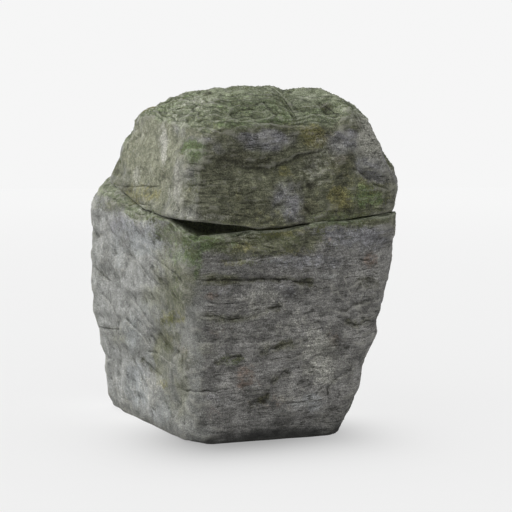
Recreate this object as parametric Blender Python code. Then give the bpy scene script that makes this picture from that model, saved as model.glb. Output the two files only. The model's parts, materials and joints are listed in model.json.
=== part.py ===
"""Mossy rock: a free-standing block of bedded sandstone, 1 m high, cut off flat at the ground.

Metres, +Z up. The dark wide face looks along -Y, the pale narrow face along -X, and the stone rests on z = 0.
One solid: the open bedding joint runs right round it as a narrow groove, the upper bed overhangs that groove at
the front left corner, and the lower bed stands out beyond the upper one on the left as a worn shoulder.
"""
import math

import bmesh
import bpy
import numpy as np

# ------------------------------------------------------------------ driving dimensions (metres, degrees)
# Cleavage faces of the bed below and the bed above the joint. Each row: azimuth of the outward normal, tilt of
# the normal above the horizon, distance from the Z axis along that azimuth, and the height where that holds.
LOWER_FACES = [
    (-92, -4, .354, .50), (192, -5, .331, .50), (-4, -13, .392, .50), (93, -1, .356, .50),
    (-134, -5, .427, .50), (-45, -12, .480, .52), (-44, 0, .489, .62), (-6, -2, .400, .62),
    (152, 8, .481, .55), (152, -6, .518, .42), (157, -16, .515, .22), (124, -3, .466, .45), (98, -10, .374, .20),
    (45, -6, .425, .50), (62, -20, .400, .25), (162, -32, .516, .05), (-20, -30, .378, .12), (-90, -28, .352, .05), (-131, -30, .390, .05),
    (191, -34, .332, .05),
]
UPPER_FACES = [
    (-91, 3, .354, .65), (190, 11, .322, .68), (94, 4, .352, .75), (-134, 7, .449, .70),
    (136, 10, .412, .72), (48, 8, .432, .70), (0, 12, .428, .65),
    (163, 23, .417, .78), (166, 31, .345, .877), (168, 56, .293, .9325), (165, 76, .187, .971),
    (-28, 16, .462, .752), (-28, 31, .402, .866), (-26, 44, .366, .9275), (-24, 62, .308, .967),
    (-24, -14, .474, .700), (-92, 40, .325, .905), (-92, 62, .245, .965), (215, 42, .335, .905),
    (190, 50, .262, .925), (84, 30, .335, .850), (112, 52, .270, .920), (48, 48, .330, .880), (20, 72, .200, .970),
    (-160, 88, .0, .996),
]
EDGE = .010                     # how softly neighbouring faces run into each other
UPPER_HEART = (0.0, 0.0, .73)   # the upper bed is measured outward from this point
CHIPS = 90                      # small flat scars knocked off the edges of each bed
CHIP_SHALLOW, CHIP_DEEP = .001, .020

# The open bedding joint runs right round the stone: azimuth, and its height there. It dips to the front left.
JOINT_LINE = [
    (-180, .659), (-165, .643), (-150, .633), (-138, .625), (-126, .620), (-112, .607), (-101, .597),
    (-92, .598), (-80, .608), (-60, .618), (-46, .637), (-34, .638), (-20, .652), (0, .688), (30, .735),
    (60, .760), (90, .764), (120, .748), (142, .718), (160, .690), (180, .659),
]
BED_DIP_X, BED_DIP_Y = .060, .235     # how the thinner beds inside both blocks rise along X and Y
HOLLOW_FROM, HOLLOW_DEEP, HOLLOW_TO = -140.0, -126.0, -105.0   # azimuths over which the joint gapes
GAP, HOLLOW_H = .0036, .038     # height of the groove where it is shut, and more of it in the hollow
GROOVE, HOLLOW_D = .028, .085   # depth of the groove, and more of it in the hollow
SHOULDER = .034                 # how far the worn shoulder stands out on the left

WAVE, WAVE_SIZE = .016, .30     # broad swells of the faces: height and length
BED, BED_SIZE = .006, .085      # bedding: low courses that run round the stone
# Swellings and hollows: azimuth, height, half width, half height, how far out (below 0: in)
SWELLS = [
    (158, .478, .10, .045, .012), (166, .655, .09, .040, .008), (-38, .455, .10, .045, .002),
    (-34, .345, .09, .026, -.022), (-36, .270, .10, .036, .012), (-100, .475, .20, .060, .006), (-60, .200, .16, .080, -.007),
    (-52, .830, .12, .070, .009), (-72, .800, .09, .050, -.010), (60, .420, .20, .090, .012),
    (110, .250, .16, .080, -.012), (20, .700, .16, .080, .010), (162, .800, .10, .060, .006),
    (158, .290, .12, .090, .007), (205, .300, .12, .110, -.008),
]

AROUND = 72                     # columns of the mesh round the stone (a multiple of 4)
SIDE_ROWS, BACK_ROWS = 22, 15   # rows up the lower bed and up the upper bed
CAP_FROM = 55.0                 # elevation above UPPER_HEART where the top's square grid starts


# ------------------------------------------------------------------ seeded lattice noise
def lattice(i, j, k, seed):
    h = (i * 374761393 + j * 668265263 + k * 2147483647 + seed * 974634777) & 0xFFFFFFFF
    h = ((h ^ (h >> 13)) * 1274126177) & 0xFFFFFFFF
    h = ((h ^ (h >> 16)) * 2246822519) & 0xFFFFFFFF
    return h ^ (h >> 15)


def noise(p, seed):
    """Smooth gradient noise, about -1 to 1, with features one unit across."""
    cell = np.floor(p).astype(np.int64)
    f = p - cell
    w = f * f * f * (f * (f * 6 - 15) + 10)
    out = 0.0
    for a in (0, 1):
        for b in (0, 1):
            for c in (0, 1):
                h = lattice(cell[..., 0] + a, cell[..., 1] + b, cell[..., 2] + c, seed)
                gx = ((h & 1023) / 511.5 - 1)
                gy = (((h >> 10) & 1023) / 511.5 - 1)
                gz = (((h >> 20) & 1023) / 511.5 - 1)
                dot = gx * (f[..., 0] - a) + gy * (f[..., 1] - b) + gz * (f[..., 2] - c)
                wx = w[..., 0] if a else 1 - w[..., 0]
                wy = w[..., 1] if b else 1 - w[..., 1]
                wz = w[..., 2] if c else 1 - w[..., 2]
                out = out + dot * wx * wy * wz
    return out * 1.6


def swirl(p, size, octaves, seed):
    out, amp = 0.0, 1.0
    for n in range(octaves):
        out = out + amp * noise(p / size + 17.3 * n, seed + n)
        amp, size = amp * .5, size * .5
    return out


# ------------------------------------------------------------------ the two beds as rounded polyhedra
def faces(table):
    out = []
    for az, tilt, dist, h in table:
        a, t = math.radians(az), math.radians(tilt)
        n = (math.cos(a) * math.cos(t), math.sin(a) * math.cos(t), math.sin(t))
        out.append((*n, n[0] * dist * math.cos(a) + n[1] * dist * math.sin(a) + n[2] * h))
    return out


def field(planes, p):
    """About the signed distance to the rounded body: below 0 inside."""
    s = [(p[..., 0] * a + p[..., 1] * b + p[..., 2] * c - d) / EDGE for a, b, c, d in planes]
    top = s[0]
    for v in s[1:]:
        top = np.maximum(top, v)
    total = 0
    for v in s:
        total = total + np.exp(v - top)
    return EDGE * (top + np.log(total))


def reach(planes, o, d):
    """How far from o along the unit direction d the rounded body's surface lies."""
    t = np.full(d.shape[:-1], 9.0)
    for a, b, c, k in planes:
        nd = d[..., 0] * a + d[..., 1] * b + d[..., 2] * c
        no = o[..., 0] * a + o[..., 1] * b + o[..., 2] * c
        t = np.minimum(t, np.where(nd > 1e-3, (k - no) / np.maximum(nd, 1e-3), 9.0))
    for _ in range(5):
        f0 = field(planes, o + d * t[..., None])
        f1 = field(planes, o + d * (t - .001)[..., None])
        t = t - f0 * .001 / np.maximum(f0 - f1, 2e-4)
    return t


def chips(planes, heart, low, high, seed):
    """Small scars: planes that shave the body's edges, evenly spread over the sphere."""
    e = np.radians(np.linspace(-60, 89, 60))[:, None]
    a = np.radians(np.linspace(0, 360, 120, endpoint=False))[None, :]
    d = np.stack([np.cos(e) * np.cos(a), np.cos(e) * np.sin(a), np.sin(e) + 0 * a], -1)
    o = np.broadcast_to(np.array(heart), d.shape)
    skin = (o + d * reach(planes, o, d)[..., None]).reshape(-1, 3)
    out = []
    for k in range(CHIPS):
        h = [lattice(k, n, 5, seed) / 4294967295.0 for n in range(4)]
        tilt = math.asin(low + (high - low) * (k + h[0]) / CHIPS)
        az = k * 2.399963 + h[1] * .6
        n = np.array([math.cos(az) * math.cos(tilt), math.sin(az) * math.cos(tilt), math.sin(tilt)])
        out.append((*n, float((skin @ n).max()) - CHIP_SHALLOW - (CHIP_DEEP - CHIP_SHALLOW) * h[2] ** 2.5))
    return out


def chipped(planes, scars, o, d):
    t = reach(planes, o, d)
    s = np.full(t.shape, 9.0)
    for a, b, c, k in scars:
        nd = d[..., 0] * a + d[..., 1] * b + d[..., 2] * c
        no = o[..., 0] * a + o[..., 1] * b + o[..., 2] * c
        s = np.minimum(s, np.where(nd > .15, (k - no) / np.maximum(nd, .15), 9.0))
    soft = .0015
    m = np.minimum(s, t)
    return m - soft * np.log(np.exp(-(s - m) / soft) + np.exp(-(t - m) / soft))


# ------------------------------------------------------------------ relief that both beds share
def ramp(x, a, b):
    t = np.clip((x - a) / (b - a), 0, 1)
    return t * t * (3 - 2 * t)


def joint(x, y):
    """Height of the bedding joint where the point x, y looks out from the middle of the stone."""
    table = np.array(JOINT_LINE, float)
    p = np.stack([x, y, 0 * x], -1)
    return np.interp(np.degrees(np.arctan2(y, x)), table[:, 0], table[:, 1]) + .0022 * noise(p / .06, 4)


def swell(p):
    """How far the faces stand out from the two polyhedra."""
    s = p[..., 2] - BED_DIP_X * p[..., 0] - .6 * BED_DIP_Y * p[..., 1]
    courses = np.stack([p[..., 0] / .35, p[..., 1] / .35, s / BED_SIZE], -1)
    out = WAVE * .62 * swirl(p, WAVE_SIZE, 2, 11) + BED * noise(courses, 23)
    out = out + .0035 * noise(p / .075, 31)
    az = np.degrees(np.arctan2(p[..., 1], p[..., 0]))
    r = np.hypot(p[..., 0], p[..., 1])
    for a, h, wide, high, far in SWELLS:
        u = np.radians((az - a + 180) % 360 - 180) * r / wide
        v = (s + .6 * BED_DIP_Y * r * math.sin(math.radians(a)) + BED_DIP_X * r * math.cos(math.radians(a)) - h) / high
        out = out + far * np.exp(-u * u - v * v) * ramp(r, .1, .3)
    return out


def gape(th):
    """0 where the joint is shut, 1 where the hollow under the upper bed is highest."""
    a = np.degrees(th)
    up = np.clip((a - HOLLOW_FROM) / (HOLLOW_DEEP - HOLLOW_FROM), 0, 1)
    down = np.clip((HOLLOW_TO - a) / (HOLLOW_TO - HOLLOW_DEEP), 0, 1)
    return np.minimum(up, down ** .9)


class Stone:
    def __init__(self):
        self.low, self.up = faces(LOWER_FACES), faces(UPPER_FACES)
        self.low_chips = chips(self.low, (0, 0, .36), -.80, .25, 7)
        self.up_chips = chips(self.up, UPPER_HEART, -.15, .97, 8)

    def lower(self, th, z):
        """Radius of the lower bed in the direction th at the height z."""
        o = np.zeros(np.shape(th) + (3,))
        o[..., 2] = z
        d = np.stack([np.cos(th), np.sin(th), 0 * th], -1)
        t = chipped(self.low, self.low_chips, o, d)
        return t + swell(o + d * t[..., None])

    def upper(self, th, e):
        """Point of the upper bed in the direction th, e from its heart."""
        d = np.stack([np.cos(e) * np.cos(th), np.cos(e) * np.sin(th), np.sin(e)], -1)
        o = np.broadcast_to(np.array(UPPER_HEART), d.shape)
        t = chipped(self.up, self.up_chips, o, d)
        p = o + d * t[..., None]
        flat = ramp(np.abs(e), 0.35, 0.8)
        push = np.stack([d[..., 0], d[..., 1], d[..., 2] * flat], -1)
        return p + push * swell(p)[..., None]

    def upper_at(self, th, z):
        """Elevation, as seen from the heart, of the upper bed's surface at the height z."""
        e = np.arctan2(z - UPPER_HEART[2], .38 + 0 * th)
        for _ in range(8):
            p = self.upper(th, e)
            e = e + np.arctan2(z - p[..., 2], np.hypot(p[..., 0], p[..., 1])) * .9
        return e

    def rings(self, around, side_rows, lip_rows, deep_rows, back_rows, cap_from):
        """Closed rows of points from the ground up to the edge of the top."""
        th = np.arange(around) * 2 * math.pi / around - math.pi * .75
        th = (th + math.pi) % (2 * math.pi) - math.pi
        ring = lambda r, z: np.stack([r * np.cos(th), r * np.sin(th), z + 0 * th], -1)
        g = gape(th)
        az = np.degrees(th) % 360
        left = ramp(az, 212, 190) * ramp(az, 120, 150)
        r = .38 + 0 * th
        for _ in range(7):
            zc = joint(r * np.cos(th), r * np.sin(th))
            r = self.lower(th, zc)
        here = np.stack([r * np.cos(th), r * np.sin(th), 0 * th], -1)
        worn = np.clip(1 + .7 * noise(here / .13, 41) + .4 * noise(here / .05, 42), .35, 1.9)
        gap = GAP * (1 + .5 * noise(here / .10, 43))
        z_low = zc - .4 * gap - HOLLOW_H * g
        z_up = zc + .6 * gap
        in_a = .011 * worn + SHOULDER * left * (.7 + .3 * worn) + .016 * g
        in_b = .014 * worn + SHOULDER * left * (.7 + .3 * worn) + .004 * g
        rows = [ring(self.lower(th, z), z) for z in
                [(z_low - in_b) * v for v in np.linspace(0, 1, side_rows, endpoint=False)]]
        for f in np.linspace(0, math.pi / 2, lip_rows):
            z = z_low - in_b * (1 - math.sin(f))
            rows.append(ring(self.lower(th, z) - in_a * (1 - math.cos(f)), z))
        r_low = np.hypot(rows[-1][:, 0], rows[-1][:, 1])
        lip, r_up = [], None
        for f in np.linspace(math.pi / 2, 0, max(lip_rows - 1, 2)):
            z = z_up + .010 * (1.6 - .6 * worn) * (1 - math.sin(f))
            e = self.upper_at(th, z)
            p = self.upper(th, e)
            r = np.hypot(p[:, 0], p[:, 1]) - .007 * (1.6 - .6 * worn) * (1 - math.cos(f))
            r_up = r if r_up is None else r_up
            lip.append(ring(r, z))
        r_in = np.minimum(r_low, r_up) - GROOVE - HOLLOW_D * g
        rows += [ring(r_low + (r_in - r_low) * v, z_low) for v in np.linspace(0, 1, deep_rows)[1:]]
        rows += [ring(r_in + (r_up - r_in) * v, z_up) for v in np.linspace(0, 1, deep_rows, endpoint=False)]
        rows += lip
        cap = math.radians(cap_from)
        rows += [self.upper(th, e + (cap - e) * v) for v in np.linspace(0, 1, back_rows)[1:]]
        return rows


def skin(stone, around, side_rows, lip_rows, deep_rows, back_rows, cap_from):
    """Vertices and faces of the whole closed surface: base, rings and top."""
    rows = stone.rings(around, side_rows, lip_rows, deep_rows, back_rows, cap_from)
    verts = [tuple(p) for row in rows for p in row]
    quads = []
    for k in range(len(rows) - 1):
        for i in range(around):
            j = (i + 1) % around
            quads.append((k * around + i, k * around + j, (k + 1) * around + j, (k + 1) * around + i))
    quads.append(tuple(reversed(range(around))))          # the flat base
    # the top: a square grid pressed into a disc, so that no spike of thin triangles meets at the pole
    n = around // 4
    first, last = len(verts), (len(rows) - 1) * around
    index = {}
    for i in range(n + 1):
        for j in range(n + 1):
            u, v = 2 * i / n - 1, 2 * j / n - 1
            if i in (0, n) or j in (0, n):
                a = math.atan2(v, u)
                if abs(u) >= abs(v):
                    a = math.pi / 4 * v / u + (0 if u > 0 else math.pi)
                else:
                    a = math.pi / 2 - math.pi / 4 * u / v + (0 if v > 0 else math.pi)
                k = round((a + math.pi * .75) / (2 * math.pi / around)) % around
                index[i, j] = last + k
                continue
            if u == 0 and v == 0:
                rr, a = 0.0, 0.0
            elif abs(u) > abs(v):
                rr, a = abs(u), math.pi / 4 * v / u + (0 if u > 0 else math.pi)
            else:
                rr, a = abs(v), math.pi / 2 - math.pi / 4 * u / v + (0 if v > 0 else math.pi)
            a = (a + math.pi) % (2 * math.pi) - math.pi
            e = math.pi / 2 - (math.pi / 2 - math.radians(cap_from)) * rr
            index[i, j] = len(verts)
            verts.append(tuple(stone.upper(np.array([a]), np.array([e]))[0]))
    for i in range(n):
        for j in range(n):
            quads.append((index[i, j], index[i + 1, j], index[i + 1, j + 1], index[i, j + 1]))
    return np.array(verts), quads


def matte(name, colour, roughness):
    m = bpy.data.materials.new(name)
    m.use_nodes = True
    shader = m.node_tree.nodes["Principled BSDF"]
    shader.inputs["Base Color"].default_value = colour
    shader.inputs["Roughness"].default_value = roughness
    return m


for o in list(bpy.data.objects):
    bpy.data.objects.remove(o, do_unlink=True)

points, polygons = skin(Stone(), AROUND, SIDE_ROWS, 4, 3, BACK_ROWS, CAP_FROM)
middle = (points.min(0) + points.max(0)) / 2
points[:, :2] -= middle[:2]

mesh = bpy.data.meshes.new("stone")
mesh.from_pydata([tuple(p) for p in points], [], polygons)
work = bmesh.new()
work.from_mesh(mesh)
bmesh.ops.recalc_face_normals(work, faces=work.faces)
bmesh.ops.triangulate(work, faces=[f for f in work.faces if len(f.verts) == 4], quad_method="SHORT_EDGE")
work.to_mesh(mesh)
work.free()
for f in mesh.polygons:
    f.use_smooth = True
rock = bpy.data.objects.new("stone", mesh)
rock.data.materials.append(matte("stone_body", (.25, .25, .22, 1), .9))
bpy.context.scene.collection.objects.link(rock)
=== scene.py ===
"""The mossy rock as it looks: fine stone surface, moss and studio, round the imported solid."""
import json
import math

import bpy
import numpy as np
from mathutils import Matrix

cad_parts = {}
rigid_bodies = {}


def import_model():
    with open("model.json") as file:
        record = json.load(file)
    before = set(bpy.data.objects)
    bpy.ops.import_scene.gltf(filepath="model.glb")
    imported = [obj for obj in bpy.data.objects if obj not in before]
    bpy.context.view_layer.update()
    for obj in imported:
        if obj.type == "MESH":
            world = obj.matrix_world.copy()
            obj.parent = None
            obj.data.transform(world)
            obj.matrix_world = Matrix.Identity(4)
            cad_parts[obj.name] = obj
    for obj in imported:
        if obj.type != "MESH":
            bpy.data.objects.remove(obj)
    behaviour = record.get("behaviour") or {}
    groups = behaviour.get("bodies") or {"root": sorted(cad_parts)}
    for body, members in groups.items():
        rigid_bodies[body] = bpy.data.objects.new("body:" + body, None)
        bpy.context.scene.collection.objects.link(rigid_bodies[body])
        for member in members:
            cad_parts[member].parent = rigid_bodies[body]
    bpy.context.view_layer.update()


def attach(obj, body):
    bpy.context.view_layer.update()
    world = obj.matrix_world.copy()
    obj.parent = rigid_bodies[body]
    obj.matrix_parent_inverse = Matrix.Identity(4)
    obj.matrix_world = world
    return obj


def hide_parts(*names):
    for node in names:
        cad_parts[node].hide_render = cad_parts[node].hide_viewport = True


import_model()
FINE = 4      # density of the stone's surface

# ------------------------------------------------------------------ driving dimensions (metres, degrees)
# Cleavage faces of the bed below and the bed above the joint. Each row: azimuth of the outward normal, tilt of
# the normal above the horizon, distance from the Z axis along that azimuth, and the height where that holds.
LOWER_FACES = [
    (-92, -4, .354, .50), (192, -5, .331, .50), (-4, -13, .392, .50), (93, -1, .356, .50),
    (-134, -5, .427, .50), (-45, -12, .480, .52), (-44, 0, .489, .62), (-6, -2, .400, .62),
    (152, 8, .481, .55), (152, -6, .518, .42), (157, -16, .515, .22), (124, -3, .466, .45), (98, -10, .374, .20),
    (45, -6, .425, .50), (62, -20, .400, .25), (162, -32, .516, .05), (-20, -30, .378, .12), (-90, -28, .352, .05), (-131, -30, .390, .05),
    (191, -34, .332, .05),
]
UPPER_FACES = [
    (-91, 3, .354, .65), (190, 11, .322, .68), (94, 4, .352, .75), (-134, 7, .449, .70),
    (136, 10, .412, .72), (48, 8, .432, .70), (0, 12, .428, .65),
    (163, 23, .417, .78), (166, 31, .345, .877), (168, 56, .293, .9325), (165, 76, .187, .971),
    (-28, 16, .462, .752), (-28, 31, .402, .866), (-26, 44, .366, .9275), (-24, 62, .308, .967),
    (-24, -14, .474, .700), (-92, 40, .325, .905), (-92, 62, .245, .965), (215, 42, .335, .905),
    (190, 50, .262, .925), (84, 30, .335, .850), (112, 52, .270, .920), (48, 48, .330, .880), (20, 72, .200, .970),
    (-160, 88, .0, .996),
]
EDGE = .010                     # how softly neighbouring faces run into each other
UPPER_HEART = (0.0, 0.0, .73)   # the upper bed is measured outward from this point
CHIPS = 90                      # small flat scars knocked off the edges of each bed
CHIP_SHALLOW, CHIP_DEEP = .001, .020

# The open bedding joint runs right round the stone: azimuth, and its height there. It dips to the front left.
JOINT_LINE = [
    (-180, .659), (-165, .643), (-150, .633), (-138, .625), (-126, .620), (-112, .607), (-101, .597),
    (-92, .598), (-80, .608), (-60, .618), (-46, .637), (-34, .638), (-20, .652), (0, .688), (30, .735),
    (60, .760), (90, .764), (120, .748), (142, .718), (160, .690), (180, .659),
]
BED_DIP_X, BED_DIP_Y = .060, .235     # how the thinner beds inside both blocks rise along X and Y
HOLLOW_FROM, HOLLOW_DEEP, HOLLOW_TO = -140.0, -126.0, -105.0   # azimuths over which the joint gapes
GAP, HOLLOW_H = .0036, .038     # height of the groove where it is shut, and more of it in the hollow
GROOVE, HOLLOW_D = .028, .085   # depth of the groove, and more of it in the hollow
SHOULDER = .034                 # how far the worn shoulder stands out on the left

WAVE, WAVE_SIZE = .016, .30     # broad swells of the faces: height and length
BED, BED_SIZE = .006, .085      # bedding: low courses that run round the stone
# Swellings and hollows: azimuth, height, half width, half height, how far out (below 0: in)
SWELLS = [
    (158, .478, .10, .045, .012), (166, .655, .09, .040, .008), (-38, .455, .10, .045, .002),
    (-34, .345, .09, .026, -.022), (-36, .270, .10, .036, .012), (-100, .475, .20, .060, .006), (-60, .200, .16, .080, -.007),
    (-52, .830, .12, .070, .009), (-72, .800, .09, .050, -.010), (60, .420, .20, .090, .012),
    (110, .250, .16, .080, -.012), (20, .700, .16, .080, .010), (162, .800, .10, .060, .006),
    (158, .290, .12, .090, .007), (205, .300, .12, .110, -.008),
]

AROUND = 72                     # columns of the mesh round the stone (a multiple of 4)
SIDE_ROWS, BACK_ROWS = 22, 15   # rows up the lower bed and up the upper bed
CAP_FROM = 55.0                 # elevation above UPPER_HEART where the top's square grid starts


# ------------------------------------------------------------------ seeded lattice noise
def lattice(i, j, k, seed):
    h = (i * 374761393 + j * 668265263 + k * 2147483647 + seed * 974634777) & 0xFFFFFFFF
    h = ((h ^ (h >> 13)) * 1274126177) & 0xFFFFFFFF
    h = ((h ^ (h >> 16)) * 2246822519) & 0xFFFFFFFF
    return h ^ (h >> 15)


def noise(p, seed):
    """Smooth gradient noise, about -1 to 1, with features one unit across."""
    cell = np.floor(p).astype(np.int64)
    f = p - cell
    w = f * f * f * (f * (f * 6 - 15) + 10)
    out = 0.0
    for a in (0, 1):
        for b in (0, 1):
            for c in (0, 1):
                h = lattice(cell[..., 0] + a, cell[..., 1] + b, cell[..., 2] + c, seed)
                gx = ((h & 1023) / 511.5 - 1)
                gy = (((h >> 10) & 1023) / 511.5 - 1)
                gz = (((h >> 20) & 1023) / 511.5 - 1)
                dot = gx * (f[..., 0] - a) + gy * (f[..., 1] - b) + gz * (f[..., 2] - c)
                wx = w[..., 0] if a else 1 - w[..., 0]
                wy = w[..., 1] if b else 1 - w[..., 1]
                wz = w[..., 2] if c else 1 - w[..., 2]
                out = out + dot * wx * wy * wz
    return out * 1.6


def swirl(p, size, octaves, seed):
    out, amp = 0.0, 1.0
    for n in range(octaves):
        out = out + amp * noise(p / size + 17.3 * n, seed + n)
        amp, size = amp * .5, size * .5
    return out


# ------------------------------------------------------------------ the two beds as rounded polyhedra
def faces(table):
    out = []
    for az, tilt, dist, h in table:
        a, t = math.radians(az), math.radians(tilt)
        n = (math.cos(a) * math.cos(t), math.sin(a) * math.cos(t), math.sin(t))
        out.append((*n, n[0] * dist * math.cos(a) + n[1] * dist * math.sin(a) + n[2] * h))
    return out


def field(planes, p):
    """About the signed distance to the rounded body: below 0 inside."""
    s = [(p[..., 0] * a + p[..., 1] * b + p[..., 2] * c - d) / EDGE for a, b, c, d in planes]
    top = s[0]
    for v in s[1:]:
        top = np.maximum(top, v)
    total = 0
    for v in s:
        total = total + np.exp(v - top)
    return EDGE * (top + np.log(total))


def reach(planes, o, d):
    """How far from o along the unit direction d the rounded body's surface lies."""
    t = np.full(d.shape[:-1], 9.0)
    for a, b, c, k in planes:
        nd = d[..., 0] * a + d[..., 1] * b + d[..., 2] * c
        no = o[..., 0] * a + o[..., 1] * b + o[..., 2] * c
        t = np.minimum(t, np.where(nd > 1e-3, (k - no) / np.maximum(nd, 1e-3), 9.0))
    for _ in range(5):
        f0 = field(planes, o + d * t[..., None])
        f1 = field(planes, o + d * (t - .001)[..., None])
        t = t - f0 * .001 / np.maximum(f0 - f1, 2e-4)
    return t


def chips(planes, heart, low, high, seed):
    """Small scars: planes that shave the body's edges, evenly spread over the sphere."""
    e = np.radians(np.linspace(-60, 89, 60))[:, None]
    a = np.radians(np.linspace(0, 360, 120, endpoint=False))[None, :]
    d = np.stack([np.cos(e) * np.cos(a), np.cos(e) * np.sin(a), np.sin(e) + 0 * a], -1)
    o = np.broadcast_to(np.array(heart), d.shape)
    skin = (o + d * reach(planes, o, d)[..., None]).reshape(-1, 3)
    out = []
    for k in range(CHIPS):
        h = [lattice(k, n, 5, seed) / 4294967295.0 for n in range(4)]
        tilt = math.asin(low + (high - low) * (k + h[0]) / CHIPS)
        az = k * 2.399963 + h[1] * .6
        n = np.array([math.cos(az) * math.cos(tilt), math.sin(az) * math.cos(tilt), math.sin(tilt)])
        out.append((*n, float((skin @ n).max()) - CHIP_SHALLOW - (CHIP_DEEP - CHIP_SHALLOW) * h[2] ** 2.5))
    return out


def chipped(planes, scars, o, d):
    t = reach(planes, o, d)
    s = np.full(t.shape, 9.0)
    for a, b, c, k in scars:
        nd = d[..., 0] * a + d[..., 1] * b + d[..., 2] * c
        no = o[..., 0] * a + o[..., 1] * b + o[..., 2] * c
        s = np.minimum(s, np.where(nd > .15, (k - no) / np.maximum(nd, .15), 9.0))
    soft = .0015
    m = np.minimum(s, t)
    return m - soft * np.log(np.exp(-(s - m) / soft) + np.exp(-(t - m) / soft))


# ------------------------------------------------------------------ relief that both beds share
def ramp(x, a, b):
    t = np.clip((x - a) / (b - a), 0, 1)
    return t * t * (3 - 2 * t)


def joint(x, y):
    """Height of the bedding joint where the point x, y looks out from the middle of the stone."""
    table = np.array(JOINT_LINE, float)
    p = np.stack([x, y, 0 * x], -1)
    return np.interp(np.degrees(np.arctan2(y, x)), table[:, 0], table[:, 1]) + .0022 * noise(p / .06, 4)


def swell(p):
    """How far the faces stand out from the two polyhedra."""
    s = p[..., 2] - BED_DIP_X * p[..., 0] - .6 * BED_DIP_Y * p[..., 1]
    courses = np.stack([p[..., 0] / .35, p[..., 1] / .35, s / BED_SIZE], -1)
    out = WAVE * .62 * swirl(p, WAVE_SIZE, 2, 11) + BED * noise(courses, 23)
    out = out + .0035 * noise(p / .075, 31)
    az = np.degrees(np.arctan2(p[..., 1], p[..., 0]))
    r = np.hypot(p[..., 0], p[..., 1])
    for a, h, wide, high, far in SWELLS:
        u = np.radians((az - a + 180) % 360 - 180) * r / wide
        v = (s + .6 * BED_DIP_Y * r * math.sin(math.radians(a)) + BED_DIP_X * r * math.cos(math.radians(a)) - h) / high
        out = out + far * np.exp(-u * u - v * v) * ramp(r, .1, .3)
    return out


def gape(th):
    """0 where the joint is shut, 1 where the hollow under the upper bed is highest."""
    a = np.degrees(th)
    up = np.clip((a - HOLLOW_FROM) / (HOLLOW_DEEP - HOLLOW_FROM), 0, 1)
    down = np.clip((HOLLOW_TO - a) / (HOLLOW_TO - HOLLOW_DEEP), 0, 1)
    return np.minimum(up, down ** .9)


class Stone:
    def __init__(self):
        self.low, self.up = faces(LOWER_FACES), faces(UPPER_FACES)
        self.low_chips = chips(self.low, (0, 0, .36), -.80, .25, 7)
        self.up_chips = chips(self.up, UPPER_HEART, -.15, .97, 8)

    def lower(self, th, z):
        """Radius of the lower bed in the direction th at the height z."""
        o = np.zeros(np.shape(th) + (3,))
        o[..., 2] = z
        d = np.stack([np.cos(th), np.sin(th), 0 * th], -1)
        t = chipped(self.low, self.low_chips, o, d)
        return t + swell(o + d * t[..., None])

    def upper(self, th, e):
        """Point of the upper bed in the direction th, e from its heart."""
        d = np.stack([np.cos(e) * np.cos(th), np.cos(e) * np.sin(th), np.sin(e)], -1)
        o = np.broadcast_to(np.array(UPPER_HEART), d.shape)
        t = chipped(self.up, self.up_chips, o, d)
        p = o + d * t[..., None]
        flat = ramp(np.abs(e), 0.35, 0.8)
        push = np.stack([d[..., 0], d[..., 1], d[..., 2] * flat], -1)
        return p + push * swell(p)[..., None]

    def upper_at(self, th, z):
        """Elevation, as seen from the heart, of the upper bed's surface at the height z."""
        e = np.arctan2(z - UPPER_HEART[2], .38 + 0 * th)
        for _ in range(8):
            p = self.upper(th, e)
            e = e + np.arctan2(z - p[..., 2], np.hypot(p[..., 0], p[..., 1])) * .9
        return e

    def rings(self, around, side_rows, lip_rows, deep_rows, back_rows, cap_from):
        """Closed rows of points from the ground up to the edge of the top."""
        th = np.arange(around) * 2 * math.pi / around - math.pi * .75
        th = (th + math.pi) % (2 * math.pi) - math.pi
        ring = lambda r, z: np.stack([r * np.cos(th), r * np.sin(th), z + 0 * th], -1)
        g = gape(th)
        az = np.degrees(th) % 360
        left = ramp(az, 212, 190) * ramp(az, 120, 150)
        r = .38 + 0 * th
        for _ in range(7):
            zc = joint(r * np.cos(th), r * np.sin(th))
            r = self.lower(th, zc)
        here = np.stack([r * np.cos(th), r * np.sin(th), 0 * th], -1)
        worn = np.clip(1 + .7 * noise(here / .13, 41) + .4 * noise(here / .05, 42), .35, 1.9)
        gap = GAP * (1 + .5 * noise(here / .10, 43))
        z_low = zc - .4 * gap - HOLLOW_H * g
        z_up = zc + .6 * gap
        in_a = .011 * worn + SHOULDER * left * (.7 + .3 * worn) + .016 * g
        in_b = .014 * worn + SHOULDER * left * (.7 + .3 * worn) + .004 * g
        rows = [ring(self.lower(th, z), z) for z in
                [(z_low - in_b) * v for v in np.linspace(0, 1, side_rows, endpoint=False)]]
        for f in np.linspace(0, math.pi / 2, lip_rows):
            z = z_low - in_b * (1 - math.sin(f))
            rows.append(ring(self.lower(th, z) - in_a * (1 - math.cos(f)), z))
        r_low = np.hypot(rows[-1][:, 0], rows[-1][:, 1])
        lip, r_up = [], None
        for f in np.linspace(math.pi / 2, 0, max(lip_rows - 1, 2)):
            z = z_up + .010 * (1.6 - .6 * worn) * (1 - math.sin(f))
            e = self.upper_at(th, z)
            p = self.upper(th, e)
            r = np.hypot(p[:, 0], p[:, 1]) - .007 * (1.6 - .6 * worn) * (1 - math.cos(f))
            r_up = r if r_up is None else r_up
            lip.append(ring(r, z))
        r_in = np.minimum(r_low, r_up) - GROOVE - HOLLOW_D * g
        rows += [ring(r_low + (r_in - r_low) * v, z_low) for v in np.linspace(0, 1, deep_rows)[1:]]
        rows += [ring(r_in + (r_up - r_in) * v, z_up) for v in np.linspace(0, 1, deep_rows, endpoint=False)]
        rows += lip
        cap = math.radians(cap_from)
        rows += [self.upper(th, e + (cap - e) * v) for v in np.linspace(0, 1, back_rows)[1:]]
        return rows


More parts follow.
